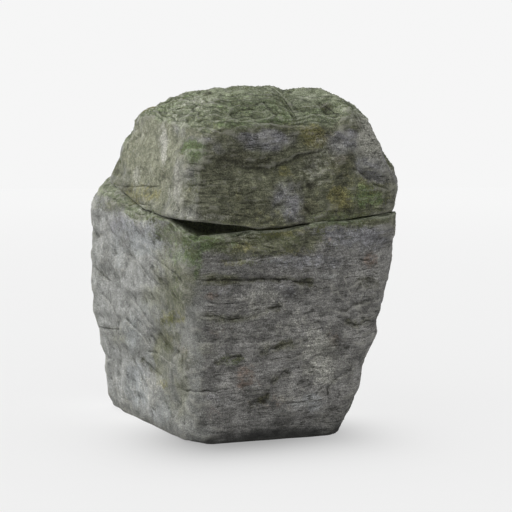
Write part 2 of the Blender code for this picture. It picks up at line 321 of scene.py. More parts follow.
def skin(stone, around, side_rows, lip_rows, deep_rows, back_rows, cap_from):
    """Vertices and faces of the whole closed surface: base, rings and top."""
    rows = stone.rings(around, side_rows, lip_rows, deep_rows, back_rows, cap_from)
    verts = [tuple(p) for row in rows for p in row]
    quads = []
    for k in range(len(rows) - 1):
        for i in range(around):
            j = (i + 1) % around
            quads.append((k * around + i, k * around + j, (k + 1) * around + j, (k + 1) * around + i))
    quads.append(tuple(reversed(range(around))))          # the flat base
    # the top: a square grid pressed into a disc, so that no spike of thin triangles meets at the pole
    n = around // 4
    first, last = len(verts), (len(rows) - 1) * around
    index = {}
    for i in range(n + 1):
        for j in range(n + 1):
            u, v = 2 * i / n - 1, 2 * j / n - 1
            if i in (0, n) or j in (0, n):
                a = math.atan2(v, u)
                if abs(u) >= abs(v):
                    a = math.pi / 4 * v / u + (0 if u > 0 else math.pi)
                else:
                    a = math.pi / 2 - math.pi / 4 * u / v + (0 if v > 0 else math.pi)
                k = round((a + math.pi * .75) / (2 * math.pi / around)) % around
                index[i, j] = last + k
                continue
            if u == 0 and v == 0:
                rr, a = 0.0, 0.0
            elif abs(u) > abs(v):
                rr, a = abs(u), math.pi / 4 * v / u + (0 if u > 0 else math.pi)
            else:
                rr, a = abs(v), math.pi / 2 - math.pi / 4 * u / v + (0 if v > 0 else math.pi)
            a = (a + math.pi) % (2 * math.pi) - math.pi
            e = math.pi / 2 - (math.pi / 2 - math.radians(cap_from)) * rr
            index[i, j] = len(verts)
            verts.append(tuple(stone.upper(np.array([a]), np.array([e]))[0]))
    for i in range(n):
        for j in range(n):
            quads.append((index[i, j], index[i + 1, j], index[i + 1, j + 1], index[i, j + 1]))
    return np.array(verts), quads


# ------------------------------------------------------------------ the camera, in the same frame
form = Stone()
coarse, _ = skin(form, AROUND, SIDE_ROWS, 4, 3, BACK_ROWS, CAP_FROM)
MIDDLE = (coarse.min(0) + coarse.max(0)) / 2
MIDDLE[2] = 0
EYE = np.array([-1.20, -3.43, .84])
AZIMUTH, PITCH, LENS = -20.0, -5.48, 85.0


def pixels(p):
    """Where a point of the stone falls in the 512 x 512 picture."""
    a, t = math.radians(AZIMUTH), math.radians(PITCH)
    right = np.array([math.cos(a), math.sin(a), 0])
    ahead = np.array([-math.sin(a) * math.cos(t), math.cos(a) * math.cos(t), math.sin(t)])
    up = np.cross(right, ahead)
    q = p - EYE
    w = q @ ahead
    f = 512 * LENS / 36
    return 256 + f * (q @ right) / w, 256 - f * (q @ up) / w


def facing(p, n):
    q = EYE - p
    return (q * n).sum(-1) / np.linalg.norm(q, axis=-1)


# ------------------------------------------------------------------ fine surface of the stone
def fine_skin(around, side_rows, lip_rows, deep_rows, back_rows, cap_from):
    """As skin(), with the top worked out in one go: points, quads, and a code for each point's part."""
    rows = form.rings(around, side_rows, lip_rows, deep_rows, back_rows, cap_from)
    grid = np.array(rows)
    count = len(rows)
    inner = np.zeros(count)
    first_in = side_rows + lip_rows
    inner[first_in:first_in + 2 * deep_rows - 1] = 1
    k, i = np.meshgrid(np.arange(count - 1), np.arange(around), indexing="ij")
    j = (i + 1) % around
    quads = np.stack([k * around + i, k * around + j, (k + 1) * around + j, (k + 1) * around + i], -1).reshape(-1, 4)
    n = around // 4
    a, b = np.meshgrid(np.arange(n + 1), np.arange(n + 1), indexing="ij")
    u, v = 2 * a / n - 1, 2 * b / n - 1
    wide = np.abs(u) >= np.abs(v)
    su, sv = np.where(u == 0, 1, u), np.where(v == 0, 1, v)
    ang = np.where(wide, math.pi / 4 * v / su + np.where(u > 0, 0, math.pi),
                   math.pi / 2 - math.pi / 4 * u / sv + np.where(v > 0, 0, math.pi))
    rr = np.maximum(np.abs(u), np.abs(v))
    edge = (a == 0) | (a == n) | (b == 0) | (b == n)
    index = np.zeros((n + 1, n + 1), np.int64)
    slot = np.round((ang + math.pi * .75) / (2 * math.pi / around)).astype(int) % around
    index[edge] = (count - 1) * around + slot[edge]
    index[~edge] = count * around + np.arange((~edge).sum())
    ang = (ang[~edge] + math.pi) % (2 * math.pi) - math.pi
    elev = math.pi / 2 - (math.pi / 2 - math.radians(cap_from)) * rr[~edge]
    top = form.upper(ang, elev)
    cap = np.stack([index[:-1, :-1], index[1:, :-1], index[1:, 1:], index[:-1, 1:]], -1).reshape(-1, 4)
    # the flat base: rings that shrink to a point under the stone
    foot, base_rows = grid[0], max(around // 40, 6)
    start = count * around + len(top)
    heart = foot.mean(0)
    ring = [foot + (heart - foot) * v for v in np.linspace(0, 1, base_rows + 1)[1:-1]]
    under = []
    ids = [np.arange(around)] + [start + m * around + np.arange(around) for m in range(len(ring))]
    for m in range(len(ids) - 1):
        nxt = np.roll(ids[m], -1), np.roll(ids[m + 1], -1)
        under.append(np.stack([ids[m], ids[m + 1], nxt[1], nxt[0]], -1))
    points = np.concatenate([grid.reshape(-1, 3), top] + ring + [heart[None]])
    last = ids[-1]
    tip = len(points) - 1
    fan = np.stack([last, np.full(around, tip), np.full(around, tip), np.roll(last, -1)], -1)
    quads = np.concatenate([quads, cap] + under)
    tris = np.stack([last, np.full(around, tip), np.roll(last, -1)], -1)
    hidden = np.zeros(len(points))
    hidden[:count * around] = np.repeat(inner, around)
    flat = np.zeros(len(points))
    flat[:around] = 1
    flat[start:] = 1
    return points, quads, tris, hidden, flat


def point_normals(p, quads):
    a, b, c, d = (p[quads[:, k]] for k in range(4))
    f = np.cross(c - a, d - b)
    out = np.zeros_like(p)
    for k in range(4):
        for axis in range(3):
            out[:, axis] += np.bincount(quads[:, k], f[:, axis], len(p))
    return out / (np.linalg.norm(out, axis=1, keepdims=True) + 1e-12)


def cells(p, size, seed, stretch=(1, 1, 1), sharp=26.0):
    """Broken stone: every cell of a jittered lattice is a small plane of its own tilt. About -1 to 1."""
    q = p / (np.array(stretch) * size)
    base = np.floor(q).astype(np.int64)
    f = q - base
    total, weight = 0.0, 1e-30
    for i in (-1, 0, 1):
        for j in (-1, 0, 1):
            for k in (-1, 0, 1):
                h = lattice(base[:, 0] + i, base[:, 1] + j, base[:, 2] + k, seed)
                g = lattice(base[:, 0] + i, base[:, 1] + j, base[:, 2] + k, seed + 77)
                d = [i + (h & 1023) / 1023.0 - f[:, 0], j + ((h >> 10) & 1023) / 1023.0 - f[:, 1],
                     k + ((h >> 20) & 1023) / 1023.0 - f[:, 2]]
                w = np.exp(-sharp * np.sqrt(d[0] ** 2 + d[1] ** 2 + d[2] ** 2))
                value = ((g & 255) / 127.5 - 1) * .55
                for n, s in enumerate((8, 16, 24)):
                    value = value - d[n] * (((g >> s) & 255) / 127.5 - 1)
                total = total + w * value
                weight = weight + w
    return total / weight


def bedding(p):
    return p[:, 2] - BED_DIP_X * p[:, 0] - .75 * BED_DIP_Y * p[:, 1]


COURSES = np.cumsum([.020 + .034 * (lattice(k, 3, 9, 5) / 4294967295.0) ** 1.3 for k in range(60)]) - .35


def courses(p, s):
    """Weathered bedding: courses of uneven height, each set in or out a little, with grooves between them."""
    k = np.clip(np.searchsorted(COURSES, s) - 1, 0, len(COURSES) - 2)
    low, high = COURSES[k], COURSES[k + 1]

    def step(n):
        q = np.stack([p[:, 0] / .13 + n * 7.31, p[:, 1] / .13, n * 3.17 + p[:, 2] / .5], -1)
        return noise(q, 61)

    def open_joint(n):
        q = np.stack([p[:, 0] / .16 + n * 5.13, p[:, 1] / .16, n * 2.77 + p[:, 2] / .5], -1)
        return np.clip(noise(q, 63) * 1.6 - .15, 0, 1)

    here, above = step(k.astype(float)), step(k + 1.0)
    rise = ramp(s, high - .005, high)
    groove_up, groove_down = open_joint(k + 1.0), open_joint(k.astype(float))
    groove = groove_up * np.exp(-((high - s) / .0032) ** 2) + groove_down * np.exp(-((s - low) / .0032) ** 2)
    # under each open joint the course is worn back over a hand's breadth of millimetres
    worn = groove_up * np.exp(-(high - s) / .012)
    return here + (above - here) * rise, groove, worn


# Cracks and ledges that the picture shows. Each row: kind, depth in mm, half width in mm, how much dark stain and
# painted shade lies round it, then its path in the picture's pixels. A crack is a groove; a ledge stands out below
# its line and falls back above it; a brow is the other way round.
MARKS = [
    ("crack", 6, 3.5, .9, (196, 281), (215, 280), (240, 281), (262, 279), (285, 280), (300, 282), (314, 282)),
    ("crack", 6, 7, 1., (298, 281), (306, 283), (315, 282)),
    ("crack", 4, 3.5, .7, (195, 315), (212, 315), (233, 320), (247, 317), (262, 312), (276, 308), (286, 307)),
    ("crack", 4, 6, .8, (268, 311), (276, 307), (285, 307)),
    ("crack", 4, 7, 1., (256, 353), (270, 350), (283, 345), (297, 341)),
    ("crack", 4, 6, .8, (212, 366), (223, 361), (233, 357), (246, 356)),
    ("crack", 5, 2.6, .3, (177, 388), (188, 391), (204, 392), (220, 390), (233, 389)),
    ("crack", 6, 6, .9, (248, 407), (258, 402), (265, 398), (270, 391)),
    ("crack", 4, 6, .6, (268, 385), (275, 378), (284, 373), (294, 371)),
    ("crack", 3, 7, .5, (296, 386), (306, 381)),
    ("ledge", 5, 8, .4, (330, 383), (339, 378), (350, 372), (358, 363)),
    ("crack", 4, 4, .6, (327, 395), (329, 386), (334, 381)),
    ("ledge", 8, 8, .5, (337, 313), (345, 311), (355, 305), (374, 301)),
    ("crack", 6, 4, .9, (342, 320), (348, 323), (356, 325), (363, 322), (373, 318)),
    ("crack", 4, 4, .5, (326, 336), (334, 329)),
    ("crack", 3, 2.6, .2, (205, 301), (225, 304), (242, 302)),
    ("ledge", 3, 6, .0, (190, 341), (230, 343), (258, 342), (280, 341)),
    ("crack", 4, 3.0, .4, (181, 352), (183, 362), (185, 376)),
    ("crack", 6, 4, .7, (149, 262), (158, 278), (171, 291), (181, 304)),
    ("crack", 4, 3, .4, (148, 254), (162, 264), (176, 274), (186, 288)),
    ("ledge", 5, 7, .2, (129, 296), (140, 308), (148, 321), (156, 329)),
    ("ledge", 7, 8, .3, (124, 317), (135, 328), (145, 338), (150, 348)),
    ("crack", 6, 5, 1., (156, 331), (164, 341), (172, 350), (181, 356)),
    ("ledge", 4, 6, .2, (158, 352), (168, 361), (179, 367)),
    ("crack", 5, 4, .9, (139, 356), (150, 366), (164, 378)),
    ("crack", 4, 3, .4, (146, 350), (158, 354)),
    ("crack", 5, 4, .6, (91, 264), (100, 272), (112, 283)),
    ("crack", 5, 4, .5, (97, 327), (108, 329), (121, 330)),
    ("crack", 3, 4, .3, (112, 244), (117, 258)),
    ("crack", 6, 5, .6, (91, 222), (95, 231), (99, 240)),
    ("crack", 3, 4, .3, (108, 362), (113, 386)),
    ("ledge", 4, 8, .1, (120, 250), (138, 262), (150, 279), (166, 296)),
    ("ledge", 4, 9, .1, (100, 290), (112, 306), (119, 322)),
    ("ledge", 4, 9, .1, (118, 340), (132, 356), (141, 374), (146, 392)),
    ("ledge", 3, 8, .0, (104, 215), (112, 232), (126, 246)),
    ("crack", 4, 2.8, .5, (114, 185), (135, 187), (162, 186)),
    ("crack", 3, 2.6, .3, (126, 200), (140, 204), (153, 206)),
    ("crack", 3, 2.8, .4, (182, 164), (196, 165), (207, 165)),
    ("crack", 3, 2.8, .4, (186, 170), (202, 171), (218, 172)),
    ("crack", 3, 2.8, .4, (183, 184), (192, 186), (208, 184)),
    ("crack", 3, 2.8, .5, (230, 192), (244, 194), (256, 191)),
    ("crack", 3, 2.8, .4, (184, 201), (198, 203), (210, 202)),
    ("crack", 3, 2.6, .4, (236, 204), (256, 203), (272, 202)),
    ("crack", 3, 2.6, .4, (212, 213), (236, 214), (262, 218)),
    ("brow", 7, 9, .8, (236, 166), (254, 167), (270, 169), (281, 164), (291, 159), (301, 155), (324, 150)),
    ("crack", 5, 8, .9, (254, 165), (264, 162), (274, 157)),
    ("crack", 4, 4, .5, (302, 198), (305, 207), (312, 214), (326, 210)),
    ("ledge", 6, 8, .3, (350, 168), (358, 171), (366, 178), (375, 185), (392, 191)),
    ("crack", 3, 4, .5, (330, 183), (338, 177), (352, 175)),
    ("crack", 8, 6, .4, (272, 87), (283, 98), (292, 111), (299, 123)),
    ("ledge", 5, 8, .2, (262, 102), (270, 110), (277, 116)),
    ("crack", 7, 5, .6, (316, 101), (326, 107), (334, 113), (348, 117)),
    ("ledge", 8, 9, .2, (344, 103), (356, 118), (363, 131), (375, 146), (391, 163)),
    ("crack", 4, 4, .4, (203, 93), (212, 93), (224, 96)),
    ("ledge", 6, 9, .1, (176, 122), (190, 112), (204, 103), (232, 101)),
    ("ledge", 5, 9, .1, (205, 122), (232, 119), (262, 122), (290, 126), (330, 124)),
    ("crack", 3, 2.8, .4, (204, 246), (226, 243), (262, 245), (278, 249)),
    ("crack", 3, 2.8, .4, (222, 236), (250, 238), (276, 240)),
    ("ledge", 4, 8, .2, (196, 263), (226, 262), (262, 257), (300, 257), (322, 251)),
    ("crack", 3, 2.6, .2, (342, 262), (356, 259), (372, 261)),
    ("ledge", 4, 8, .0, (300, 405), (316, 396), (326, 384)),
    ("ledge", 4, 9, .0, (190, 424), (226, 428), (268, 426), (310, 424)),
    ("ledge", 3, 8, .0, (240, 367), (262, 362), (290, 358), (310, 350)),
    ("ledge", 3, 8, .0, (204, 294), (222, 297), (244, 294)),
    ("ledge", 3, 8, .0, (196, 333), (222, 331), (252, 334), (280, 330)),
]
# Round hollows and swellings: picture position, radius in mm, depth in mm (below 0: it stands out)
PITS = [(311, 185, 11, 7), (327, 107, 14, 9), (264, 401, 12, 5), (207, 93, 10, 5), (370, 280, 20, 8),
        (358, 290, 18, 6), (222, 291, 16, 3), (351, 348, 18, 5), (120, 300, 18, -4), (135, 280, 20, 3),
        (330, 290, 34, -6), (300, 350, 30, -5), (345, 335, 16, -5), (225, 335, 26, -4), (245, 300, 24, -4),
        (280, 395, 26, -4), (210, 400, 26, -3), (310, 208, 18, 5), (290, 185, 28, -5), (240, 180, 26, 4),
        (352, 195, 30, -5), (262, 140, 30, -5), (225, 155, 20, 5), (345, 150, 24, -4), (140, 160, 26, 4),
        (160, 145, 22, -3), (128, 175, 16, 3), (150, 200, 20, -3), (105, 245, 16, -4), (140, 235, 24, 4),
        (160, 250, 26, -4), (118, 275, 18, 4), (150, 300, 22, 4), (125, 350, 20, 4), (150, 385, 26, -5),
        (130, 400, 20, 3), (175, 405, 24, 3), (170, 315, 20, -5), (240, 110, 30, 6), (215, 105, 22, -5),
        (300, 105, 24, 6), (270, 98, 18, -4), (345, 118, 16, -4)]


def picture_marks(p, n):
    """The cracks, ledges and hollows of the side seen in the picture: relief, how dark a crack, how much dark stain
    and painted shade lies round it, and the signed distance to the nearest one in mm with how much of a crack and of a
    ledge it is."""
    x, y = pixels(p)
    seen = ramp(facing(p, n), .08, .3)
    near = np.nonzero(seen > 0)[0]
    x, y, seen, q = x[near], y[near], seen[near], p[near]
    wob = 1.9 * noise(q / .030, 71) + .9 * noise(q / .011, 72)
    x, y = x + wob * .6, y + wob * .8
    uneven = np.clip(.75 + .7 * noise(q / .028, 73), .15, 1.4)
    out, dark, dirt_and_shade = np.zeros(len(near)), np.zeros(len(near)), np.zeros(len(near))
    closest, seam = np.full(len(near), 1e9), np.full(len(near), 20.0)
    is_crack, is_rim = np.zeros(len(near)), np.zeros(len(near))
    scale = 2.85      # millimetres on the stone to a pixel
    for kind, deep, wide, dirt_and_shade_amount, *path in MARKS:
        xs, ys = [v for v, _ in path], [v for _, v in path]
        box = np.nonzero((x > min(xs) - 26) & (x < max(xs) + 26) & (y > min(ys) - 26) & (y < max(ys) + 26))[0]
        if not len(box):
            continue
        bx, by = x[box], y[box]
        best, side, along = np.full(len(box), 1e9), np.zeros(len(box)), np.zeros(len(box))
        total = sum(math.dist(path[m], path[m + 1]) for m in range(len(path) - 1))
        gone = 0.0
        for (x0, y0), (x1, y1) in zip(path, path[1:]):
            dx, dy = x1 - x0, y1 - y0
            length = math.hypot(dx, dy)
            t = np.clip(((bx - x0) * dx + (by - y0) * dy) / length ** 2, 0, 1)
            ex, ey = bx - x0 - t * dx, by - y0 - t * dy
            d = np.hypot(ex, ey)
            hit = d < best
            best = np.where(hit, d, best)
            side = np.where(hit, np.sign(dx * ey - dy * ex) * d, side)
            along = np.where(hit, (gone + t * length) / total, along)
            gone += length
        d = best * scale
        ends = ramp(along, 0, .15) * ramp(along, 1, .85)
        taper = ends * uneven[box]
        if kind == "crack":
            g = np.exp(-(d / wide) ** 2) * taper
            lip = np.exp(-((side * scale - 2.2 * wide) / (1.6 * wide)) ** 2) * taper
            out[box] += (-deep * g + .25 * deep * lip) * 1e-3
            dark[box] = np.maximum(dark[box], np.exp(-(d / min(wide, 3.2)) ** 2) * taper)
            below = side * scale
        else:
            below = side * scale * (1 if kind == "ledge" else -1)
            shelf = np.where(below > 0, np.exp(-below / 26), -.6 * np.exp(below / 14))
            shelf = shelf * (1 - np.exp(-(below / 3.0) ** 2)) * np.exp(-(np.minimum(d - np.abs(below), 40) / 8) ** 2)
            out[box] += deep * .8 * shelf * (.4 * ends + .6 * taper) * 1e-3
            line = np.exp(-((below + 3.0) / 3.0) ** 2) * taper
            out[box] += -deep * .25 * line * 1e-3
            dark[box] = np.maximum(dark[box], .35 * line)
        dirt_and_shade[box] = np.maximum(dirt_and_shade[box], dirt_and_shade_amount * np.exp(-(np.maximum(d - wide, 0) / 9) ** 2) * ends)
        hit = d < closest[box]
        here = box[hit]
        closest[here] = d[hit]
        seam[here] = np.clip(below[hit], -20, 20)
        mask = (np.exp(-(d / 14) ** 2) * np.clip(taper * deep / 4.5, 0, 1.2))[hit]
        is_crack[here] = mask if kind == "crack" else 0
        is_rim[here] = 0 if kind == "crack" else mask
    for cx, cy, wide, deep in PITS:
        d = np.hypot(x - cx, (y - cy) * 1.3) * scale
        out -= deep * np.exp(-(d / wide) ** 2) * 1e-3
    full, shade, soil_and_shade = np.zeros(len(p)), np.zeros(len(p)), np.zeros(len(p))
    full[near], shade[near], soil_and_shade[near] = out * seen, dark * seen, dirt_and_shade * seen
    lines = np.zeros((3, len(p)))
    lines[0], lines[1][near], lines[2][near] = 20.0, is_crack * seen, is_rim * seen
    lines[0][near] = seam
    return full, shade, soil_and_shade, lines


AHEAD = np.array([.330, .944, 0.0])      # the way the picture looks, level


ASIDE = np.array([.944, -.330, 0.0])
# swells and hollows at the outline: middle, half width across, along the view and upward, height
SKYLINE = [((.092, -.125, .994), (.024, .11, .11), -.0165), ((.325, -.215, .885), (.052, .09, .09), -.011),
           ((.360, -.200, .835), (.040, .08, .08), -.009), ((-.222, .098, .945), (.048, .08, .08), .010),
           ((-.304, .165, .869), (.028, .07, .07), -.010), ((.385, -.270, .592), (.040, .10, .034), -.009)]


def turned(p, n):
    """A point of the side away from the picture, as if it lay on the side seen."""
    return p - 2 * np.outer((p - MIDDLE) @ AHEAD, AHEAD), n - 2 * np.outer(n @ AHEAD, AHEAD)


def all_marks(p, n):
    """The marks of the side seen, and marks of the same kind on the side that isn't."""
    full, shade, soil_and_shade, lines = picture_marks(p, n)
    full2, shade2, soil2_and_shade, lines2 = picture_marks(*turned(p, n))
    use = lines2[1] + lines2[2] > lines[1] + lines[2]
    return full + full2, np.maximum(shade, shade2), np.maximum(soil_and_shade, soil2_and_shade), np.where(use, lines2, lines)


def sides(n):
    """How much a point belongs to the pale left, the top, and the rest."""
    top = ramp(n[:, 2], .35, .80)
    left = ramp(-n[:, 0] - .15 * n[:, 1], .25, .75) * (1 - top)
    return top, left


def layer(p, s):
    """The number of the thin layer that crops out here, counted up from the ground, with its fraction."""
    return (s + .011 * noise(p / .065, 74) + .0034 * noise(p / .024, 75)) / .0125


def scaly(p, s):
    """Thin layers that crop out one above another, each with a steep edge: about 0 to 1."""
    t = layer(p, s)
    k = np.floor(t)
    t = t - k
    high = (lattice(k.astype(np.int64), 1, 2, 76) & 255) / 255.0
    return (t - ramp(t, .72, 1.0) * .9) * (.6 + .8 * high) * (.55 + .6 * ramp(noise(p / .075, 111), -.4, .4))


def relief(p, n, hidden, flat):
    """Everything finer than the CAD shape, along the normal, in metres; and how deep in a groove a point lies."""
    top, left = sides(n)
    warp = .006 * noise(p / .16, 51) + .0018 * noise(p / .05, 52)
    s = bedding(p) + warp
    step, groove, worn = courses(p, s)
    wall = (1 - top) * (1 - .75 * left)
    out = wall * (.0018 * step - .0015 * groove - .0010 * worn)
    rough = .75 + .5 * np.clip(noise(p / .16, 53), -1, 1)
    big = cells(p, .105, 54, (1, 1, .6), 16.0)
    small = cells(p, .036, 55, (1, 1, .5), 20.0)
    slab = cells(p, .20, 68, (1, 1, .7), 22.0)
    out += .0085 * slab + .0046 * big + .0012 * small * rough
    out += .0034 * noise(p / np.array([.085, .085, .050]), 66)
    out += .0011 * rough * (1 - .45 * left) * swirl(p, .036, 4, 56)
    out += .0010 * noise(np.stack([p[:, 0] / .05, p[:, 1] / .05, s / .010], -1), 57) * wall
    # the pale side is worn into soft ridges that run down to the front
    slant = p[:, 2] - .9 * p[:, 1] + .02 * noise(p / .10, 77)
    out += left * .0034 * noise(np.stack([slant / .050, (p[:, 1] + .9 * p[:, 2]) / .19, p[:, 0] / .2], -1), 78)
    out += left * .0012 * noise(np.stack([slant / .020, (p[:, 1] + .9 * p[:, 2]) / .09, p[:, 0] / .1], -1), 79)
    pit = np.clip(noise(p / .011, 59) - .35, 0, 1) * ramp(noise(p / .09, 60), -.1, .4)
    out -= .0030 * pit * (1 - top)
    # layered crust on the top and the worn shoulder
    crown = ramp(n[:, 2], .28, .60)
    out += crown * (.0044 * (scaly(p, s) - .35) - .0015 * ramp(n[:, 2], .6, .9) + .0026 * cells(p, .030, 69, (1.4, 1, .8), 26.0)
                    + .0026 * noise(p / .045, 65))
    placed, dark, _, _ = all_marks(p, n)
    keep = 1 - .75 * hidden
    out = (out + placed * (1 - .3 * left)) * keep
    for middle, (wide, long, high), height in SKYLINE:
        q = p - np.array(middle)
        out += height * np.exp(-(q @ ASIDE / wide) ** 2 - (q @ AHEAD / long) ** 2 - (q[:, 2] / high) ** 2)
    # the lips of the joint keep their line, and where it is shut they lie close
    lips = np.exp(-((p[:, 2] - joint(p[:, 0], p[:, 1])) / .011) ** 2) * (1 - ramp(n[:, 2], .5, .8))
    out = out * (1 - .8 * lips) + .0016 * lips * ramp(np.arctan2(p[:, 1], p[:, 0]), math.radians(-108), math.radians(-98))
    out *= ramp(p[:, 2], -.001, .012)
    return out * (1 - flat), np.maximum(groove * wall * .8, dark)


def to_mesh(name, points, quads, tris=None):
    mesh = bpy.data.meshes.new(name)
    loops = quads.reshape(-1) if tris is None else np.concatenate([quads.reshape(-1), tris.reshape(-1)])
    sizes = np.full(len(quads), quads.shape[1])
    if tris is not None:
        sizes = np.concatenate([sizes, np.full(len(tris), 3)])
    mesh.vertices.add(len(points))
    mesh.vertices.foreach_set("co", points.astype(np.float32).reshape(-1))
    mesh.loops.add(len(loops))
    mesh.loops.foreach_set("vertex_index", loops.astype(np.int32))
    mesh.polygons.add(len(sizes))
    mesh.polygons.foreach_set("loop_start", np.concatenate([[0], np.cumsum(sizes)[:-1]]).astype(np.int32))
    mesh.polygons.foreach_set("loop_total", sizes.astype(np.int32))
    mesh.update(calc_edges=True)
    mesh.validate()
    return mesh


def put(mesh, name, values):
    mesh.attributes.new(name, "FLOAT", "POINT").data.foreach_set("value", values.astype(np.float32))


points, quads, tris, hidden, flat = fine_skin(
    260 * FINE, 76 * FINE, 4 * FINE, 2 * FINE, 24 * FINE, 38.0)
normal = point_normals(points, quads)
if (normal[:, 2] * (points[:, 2] > .99)).sum() < 0:
    normal = -normal
    quads, tris = quads[:, ::-1], tris[:, ::-1]
move, groove = relief(points, normal, hidden, flat)
points = points + normal * move[:, None]
points[:, 2] = np.maximum(points[:, 2], 0)
points[flat > 0, 2] = 0

mesh = to_mesh("stone_skin", points - MIDDLE, quads, tris)
stone = bpy.data.objects.new("stone_skin", mesh)
bpy.context.scene.collection.objects.link(stone)
faces_now = 2 * len(quads) + len(tris)
TARGET = 192000
if faces_now > TARGET:
    thin = stone.modifiers.new("thin", "DECIMATE")
    thin.ratio = TARGET / faces_now
    thin.use_collapse_triangulate = True
    graph = bpy.context.evaluated_depsgraph_get()
    done = bpy.data.meshes.new_from_object(stone.evaluated_get(graph), depsgraph=graph)
    stone.modifiers.clear()
    stone.data = done
    bpy.data.meshes.remove(mesh)
    mesh = done
mesh.name = "stone_skin"
for f in mesh.polygons:
    f.use_smooth = True
print("stone triangles", len(mesh.polygons))

# ------------------------------------------------------------------ what grows where
co = np.empty(len(mesh.vertices) * 3, np.float32)
mesh.vertices.foreach_get("co", co)
co = co.reshape(-1, 3).astype(np.float64)
no = np.empty(len(mesh.vertices) * 3, np.float32)
mesh.vertices.foreach_get("normal", no)
no = no.reshape(-1, 3).astype(np.float64)
edges = np.empty(len(mesh.edges) * 2, np.int32)
mesh.edges.foreach_get("vertices", edges)
edges = edges.reshape(-1, 2)


def smooth(values, rounds):
    """Averages over neighbouring points, for masks and for the lie of the land."""
    v = values.astype(np.float64)
    many = np.bincount(edges.reshape(-1), minlength=len(co)) + 1.0
    for _ in range(rounds):
        if v.ndim == 1:
            add = np.bincount(edges[:, 0], v[edges[:, 1]], len(co)) + np.bincount(edges[:, 1], v[edges[:, 0]], len(co))
            v = (v + add) / many
        else:
            v = np.stack([(v[:, k] + np.bincount(edges[:, 0], v[edges[:, 1], k], len(co))
                           + np.bincount(edges[:, 1], v[edges[:, 0], k], len(co))) / many for k in range(3)], -1)
    return v


broad = smooth(co, 10)
lie = smooth(no, 6)
lie /= np.linalg.norm(lie, axis=1, keepdims=True) + 1e-9
sunk = ((broad - co) * lie).sum(1)                 # above 0: lower than its surroundings
near_lie = smooth(co, 2)
nick = ((near_lie - co) * no).sum(1)
world = co + MIDDLE
top, left = sides(lie)
x, y = pixels(world)
seen = ramp(facing(world, lie), .05, .3)
